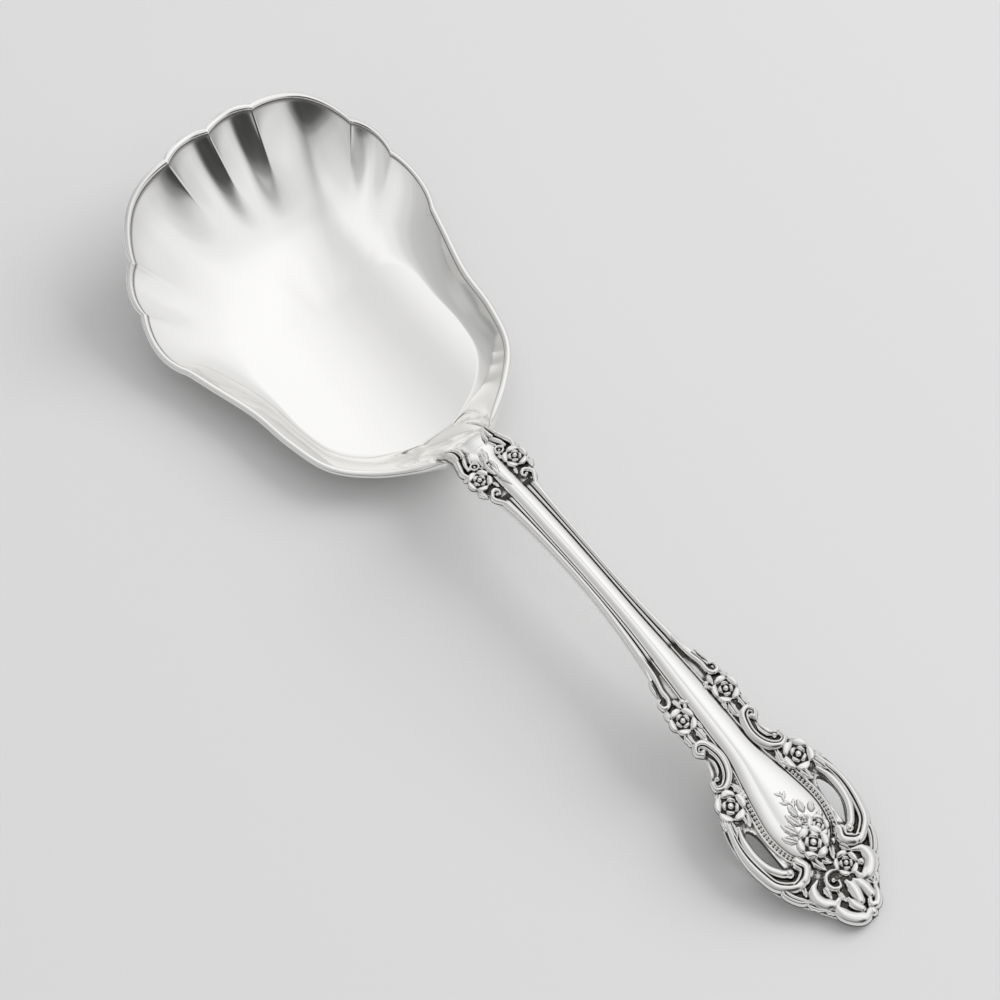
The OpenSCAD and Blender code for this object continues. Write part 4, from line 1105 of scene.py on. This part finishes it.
# %% Piercings
PIERCE_STEPS = 40
CUTTER_FROM, CUTTER_HEIGHT = -2, 22
SAWN_FILM_AND_PAINTED_SHADE, SAWN_REACH, UPRIGHT, SAWN_ANGLE = 0.85, 0.6, 0.3, 40
pierce_line = spline(np.array([
    (along(0.775), 0.66 * SPREAD_WIDTH / 2), (along(0.818), 0.665 * SPREAD_WIDTH / 2),
    (along(0.858), 0.575 * SPREAD_WIDTH / 2)]), np.linspace(0, 2, PIERCE_STEPS + 1))
pierce_half = PIERCE_WIDTH / 2 * np.sin(np.pi * np.linspace(0, 1, PIERCE_STEPS + 1) ** 0.75).clip(0) ** 0.8
pierce_side = np.stack([0 * pierce_half, pierce_half], -1)
teardrop = np.concatenate([pierce_line + pierce_side, (pierce_line - pierce_side)[-2:0:-1]])
bm = bmesh.new()
for label, side in SIDES:
    loop = [bm.verts.new(((x - MID_X) * MM, side * y * MM, CUTTER_FROM * MM)) for x, y in teardrop]
    lid = bm.faces.new(loop)
    grown = bmesh.ops.extrude_face_region(bm, geom=[lid], use_keep_orig=True)["geom"]
    bmesh.ops.translate(bm, verts=[g for g in grown if isinstance(g, bmesh.types.BMVert)],
        vec=(0, 0, CUTTER_HEIGHT * MM))
bmesh.ops.recalc_face_normals(bm, faces=bm.faces[:])
cutter = new_object("piercing_cutter", bm)
cut = plate.modifiers.new("piercings", "BOOLEAN")
cut.object = cutter
cut.operation = "DIFFERENCE"
cut.solver = "EXACT"
bpy.context.view_layer.update()
pierced = bpy.data.meshes.new_from_object(plate.evaluated_get(bpy.context.evaluated_depsgraph_get()))
plate.modifiers.clear()
plate.data = pierced
bpy.data.objects.remove(cutter)
bm = bmesh.new()
bm.from_mesh(pierced)
layer = bm.verts.layers.float["recess"]
sawn = 0
# The walls of the openings are darkened: patina plus painted shade inside the openings
for face in bm.faces:
    middle = face.calc_center_median() / MM
    apart = np.hypot(teardrop[:, 0] - MID_X - middle.x, teardrop[:, 1] - abs(middle.y)).min()
    if apart < SAWN_REACH and abs(face.normal.z) < UPRIGHT:
        sawn += 1
        for v in face.verts:
            v[layer] = SAWN_FILM_AND_PAINTED_SHADE
soften(bm, SAWN_ANGLE)
bm.to_mesh(pierced)
bm.free()
print("plate faces", len(pierced.polygons), "of them sawn", sawn)

# %% [markdown]
# ## The crowned panel
# The panel is a long smooth moulding, polished like the bowl. The raster would show its steps there, so the
# panel is a grid that follows its own outline, extruded down to a seat on the plate.

# %% Crowned panel
PANEL_ROWS, PANEL_CUTS = 420, 40
PANEL_FILM, FILM_FROM, FILM_START_U = 0.8, 0.9, 0.06


def moulding(name, points, dark, material, replaced):
    """A closed strip: its top follows points, its seat lies flat on the plate."""
    bm, seats, i, j = flat_grid(*points.shape[:2])
    tops, entries = raise_tops(bm, seats, zip(i, j))
    a, b = np.array(entries).T
    place(bm, tops, points[a, b], dark[a, b])
    base = points[i, j].copy()
    base[:, 2] = plate_top(base[:, 0]) - SEAT
    place(bm, seats, base, np.ones(len(seats)))
    bmesh.ops.recalc_face_normals(bm, faces=bm.faces[:])
    return finish_piece(name, bm, material, replaced)


u = np.linspace(0, PANEL_END, PANEL_ROWS)[:, None]
a = np.linspace(-np.pi / 2, np.pi / 2, PANEL_CUTS + 1)[None, :]
panel_x = along(u) + 0 * a
panel_y = panel_half(u) * np.sin(a)
panel_z = plate_top(panel_x) + PANEL_RISE * np.cos(a)
rim_dark = smooth((np.abs(np.sin(a)) - FILM_FROM) / (1 - FILM_FROM)) * smooth(u / FILM_START_U) * PANEL_FILM
panel = moulding("panel_crown", np.stack([panel_x, panel_y, panel_z], -1), rim_dark,
    polished_silver, ["center_panel"])
print("panel faces", len(panel.data.polygons))

# %% [markdown]
# ## The reeds
# Two reeds run along each edge of the stem. Each could be a round wire, but the pair shares one moulding, so
# that the groove between them is part of the mesh and holds the dark film.

# %% Reeds along the stem
REED_FROM, REED_TO, REED_ROWS, REED_CUTS = 0.1, 0.5, 260, 12
# How far each end takes to sink into the plate, along u
START_EASE, END_EASE = 0.02, 0.05
# Share of the lane between panel and edge, height
OUTER_REED, INNER_REED = (0.60, 1.1), (0.25, 0.75)
REED_FOOT, EDGE_GAP, PANEL_GAP, END_FILM = 0.12, 0.18, 0.06, 1.4
u = np.linspace(REED_FROM, REED_TO, REED_ROWS)[:, None]
arc = np.linspace(0, np.pi, REED_CUTS + 1)[None, :]
ends = smooth((u - REED_FROM) / START_EASE) * smooth((REED_TO - u) / END_EASE)
lane = half_width(u) - panel_half(u)
outer_y = half_width(u) - EDGE_GAP - OUTER_REED[0] * lane / 2 * (1 - np.cos(arc))
inner_y = panel_half(u) + PANEL_GAP + INNER_REED[0] * lane / 2 * (1 + np.cos(arc))
y = np.concatenate([outer_y, inner_y], 1)
rise = REED_FOOT + np.concatenate([
    OUTER_REED[1] * np.sin(arc) ** 0.8 * ends, INNER_REED[1] * np.sin(arc) ** 0.8 * ends], 1)
x = along(u) + 0 * y
# The film lies in the grooves and where the reeds sink at their ends; the outer edge stays bright
groove = (1 - np.sin(arc)) ** 2
flank = np.maximum(np.concatenate([groove, groove], 1), smooth(END_FILM * (1 - ends)))
flank[:, : REED_CUTS // 2] = 0
for label, side in SIDES:
    moulding(label + "_reed", np.stack([x, side * y, plate_top(x) + rise], -1), flank,
        handle_silver, [label + "_edge_reed"])
print("reeds run from", round(along(REED_FROM), 1), "to", round(along(REED_TO), 1), "mm")

# %% [markdown]
# ## The floor
# The spoon lies on a plain pale table top. It is a flat grid with a dull finish, which takes the soft shadow
# and doesn't draw the eye.

# %% Floor
FLOOR_REACH, FLOOR_GREY, FLOOR_ROUGHNESS = 2.0, 0.69, 0.6
bm = bmesh.new()
bmesh.ops.create_grid(bm, x_segments=2, y_segments=2, size=FLOOR_REACH)
floor = new_object("floor", bm)
floor_material = bpy.data.materials.new("pale_floor")
floor_material.use_nodes = True
floor_shader = floor_material.node_tree.nodes["Principled BSDF"]
floor_shader.inputs["Base Color"].default_value = (FLOOR_GREY, FLOOR_GREY, FLOOR_GREY, 1)
floor_shader.inputs["Roughness"].default_value = FLOOR_ROUGHNESS
floor.data.materials.append(floor_material)
print("floor reaches", FLOOR_REACH, "m each way, grey", FLOOR_GREY)

# %% [markdown]
# ## Sky and lamp
# Silver shows its surroundings, so the sky is most of the picture. It is a product of four soft ramps: tones
# by height with a darker horizon, a strip that gives the floor of the bowl its gradient, and a dark card with
# a soft shade beside it, as a photographer sets up, which puts the dark patches into the lobes. One large
# soft lamp gives the shadow its side. It is hidden from mirror rays, or it would burn a white square into the
# bowl.

# %% Sky and lamp
LAMP_SIZE, LAMP_POWER = 1.3, 22
LAMP_AT, LAMP_TARGET = Vector((0.15, 1.5, 1.15)), Vector((-0.02, 0, 0))
world = bpy.data.worlds.new("studio")
scene.world = world
world.use_nodes = True
nodes, links = world.node_tree.nodes, world.node_tree.links
sky = nodes["Background"]
direction = nodes.new("ShaderNodeTexCoord")


def tone_ramp(way, low, high, stops):
    """Grey tones by how far a direction leans along way, from low to high."""
    lean = nodes.new("ShaderNodeVectorMath")
    lean.operation = "DOT_PRODUCT"
    lean.inputs[1].default_value = way
    links.new(direction.outputs["Generated"], lean.inputs[0])
    span = add_node(nodes, "ShaderNodeMapRange", From_Min=low, From_Max=high)
    links.new(lean.outputs["Value"], span.inputs["Value"])
    ramp = nodes.new("ShaderNodeValToRGB")
    ramp.color_ramp.interpolation = "EASE"
    while len(ramp.color_ramp.elements) < len(stops):
        ramp.color_ramp.elements.new(0.5)
    for element, (position, tone) in zip(ramp.color_ramp.elements, stops):
        element.position = (position - low) / (high - low)
        element.color = (tone, tone, tone, 1)
    links.new(span.outputs["Result"], ramp.inputs["Fac"])
    return ramp.outputs["Color"]


height_tones = tone_ramp((-0.12, 0.1, 1.0), -0.25, 1.0, (
    (-0.25, 0.50), (-0.02, 0.36), (0.10, 0.44), (0.24, 0.74), (0.5, 0.92), (1.0, 1.0)))
strip_tones = tone_ramp((0.096, 0.995, 0.0), -1.0, 1.0, (
    (-1.0, 0.84), (-0.9, 0.78), (-0.7, 0.55), (-0.4, 0.58), (-0.2, 0.70), (-0.04, 0.88), (0.045, 0.98),
    (0.085, 0.97), (0.11, 0.86), (0.135, 0.755), (0.165, 0.755), (0.205, 0.837), (0.238, 0.93), (0.27, 0.994),
    (0.32, 1.05), (0.45, 1.04), (0.58, 0.98), (0.72, 0.90), (0.85, 0.85), (1.0, 0.85)))
flag_tones = tone_ramp(Vector((0.925, -0.11, 0.365)).normalized(), -1.0, 1.0, (
    (-1.0, 1.0), (0.6, 1.0), (0.85, 0.97), (0.92, 0.93), (0.948, 0.80), (0.966, 0.36), (0.98, 0.13),
    (1.0, 0.09)))
shade_tones = tone_ramp(Vector((0.80, 0.06, 0.60)).normalized(), -1.0, 1.0, (
    (-1.0, 1.0), (0.88, 1.0), (0.95, 0.94), (0.98, 0.82), (1.0, 0.66)))


def multiplied(first, second):
    """The product of two colours."""
    joined = nodes.new("ShaderNodeMix")
    joined.data_type = "RGBA"
    joined.blend_type = "MULTIPLY"
    joined.inputs["Factor"].default_value = 1.0
    links.new(first, joined.inputs["A"])
    links.new(second, joined.inputs["B"])
    return joined.outputs["Result"]


tones = multiplied(multiplied(height_tones, strip_tones), multiplied(flag_tones, shade_tones))
links.new(tones, sky.inputs["Color"])
sky.inputs["Strength"].default_value = 1.0
lamp_data = bpy.data.lights.new("key_lamp", "AREA")
lamp_data.shape = "RECTANGLE"
lamp_data.size, lamp_data.size_y = LAMP_SIZE, LAMP_SIZE
lamp_data.energy = LAMP_POWER
lamp = bpy.data.objects.new("key_lamp", lamp_data)
lamp.visible_glossy = False
lamp.location = LAMP_AT
lamp.rotation_euler = (LAMP_TARGET - LAMP_AT).to_track_quat("-Z", "Y").to_euler()
scene.collection.objects.link(lamp)
scene.view_settings.view_transform = "Standard"
print("lamp of", lamp_data.energy, "W at", tuple(round(v, 2) for v in lamp.location))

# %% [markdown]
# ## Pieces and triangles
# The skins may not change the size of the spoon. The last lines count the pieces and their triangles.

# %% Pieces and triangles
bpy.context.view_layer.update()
triangles = sum(len(p.vertices) - 2 for piece in PIECES for p in piece.data.polygons)
print("pieces", len(PIECES), "triangles", triangles)
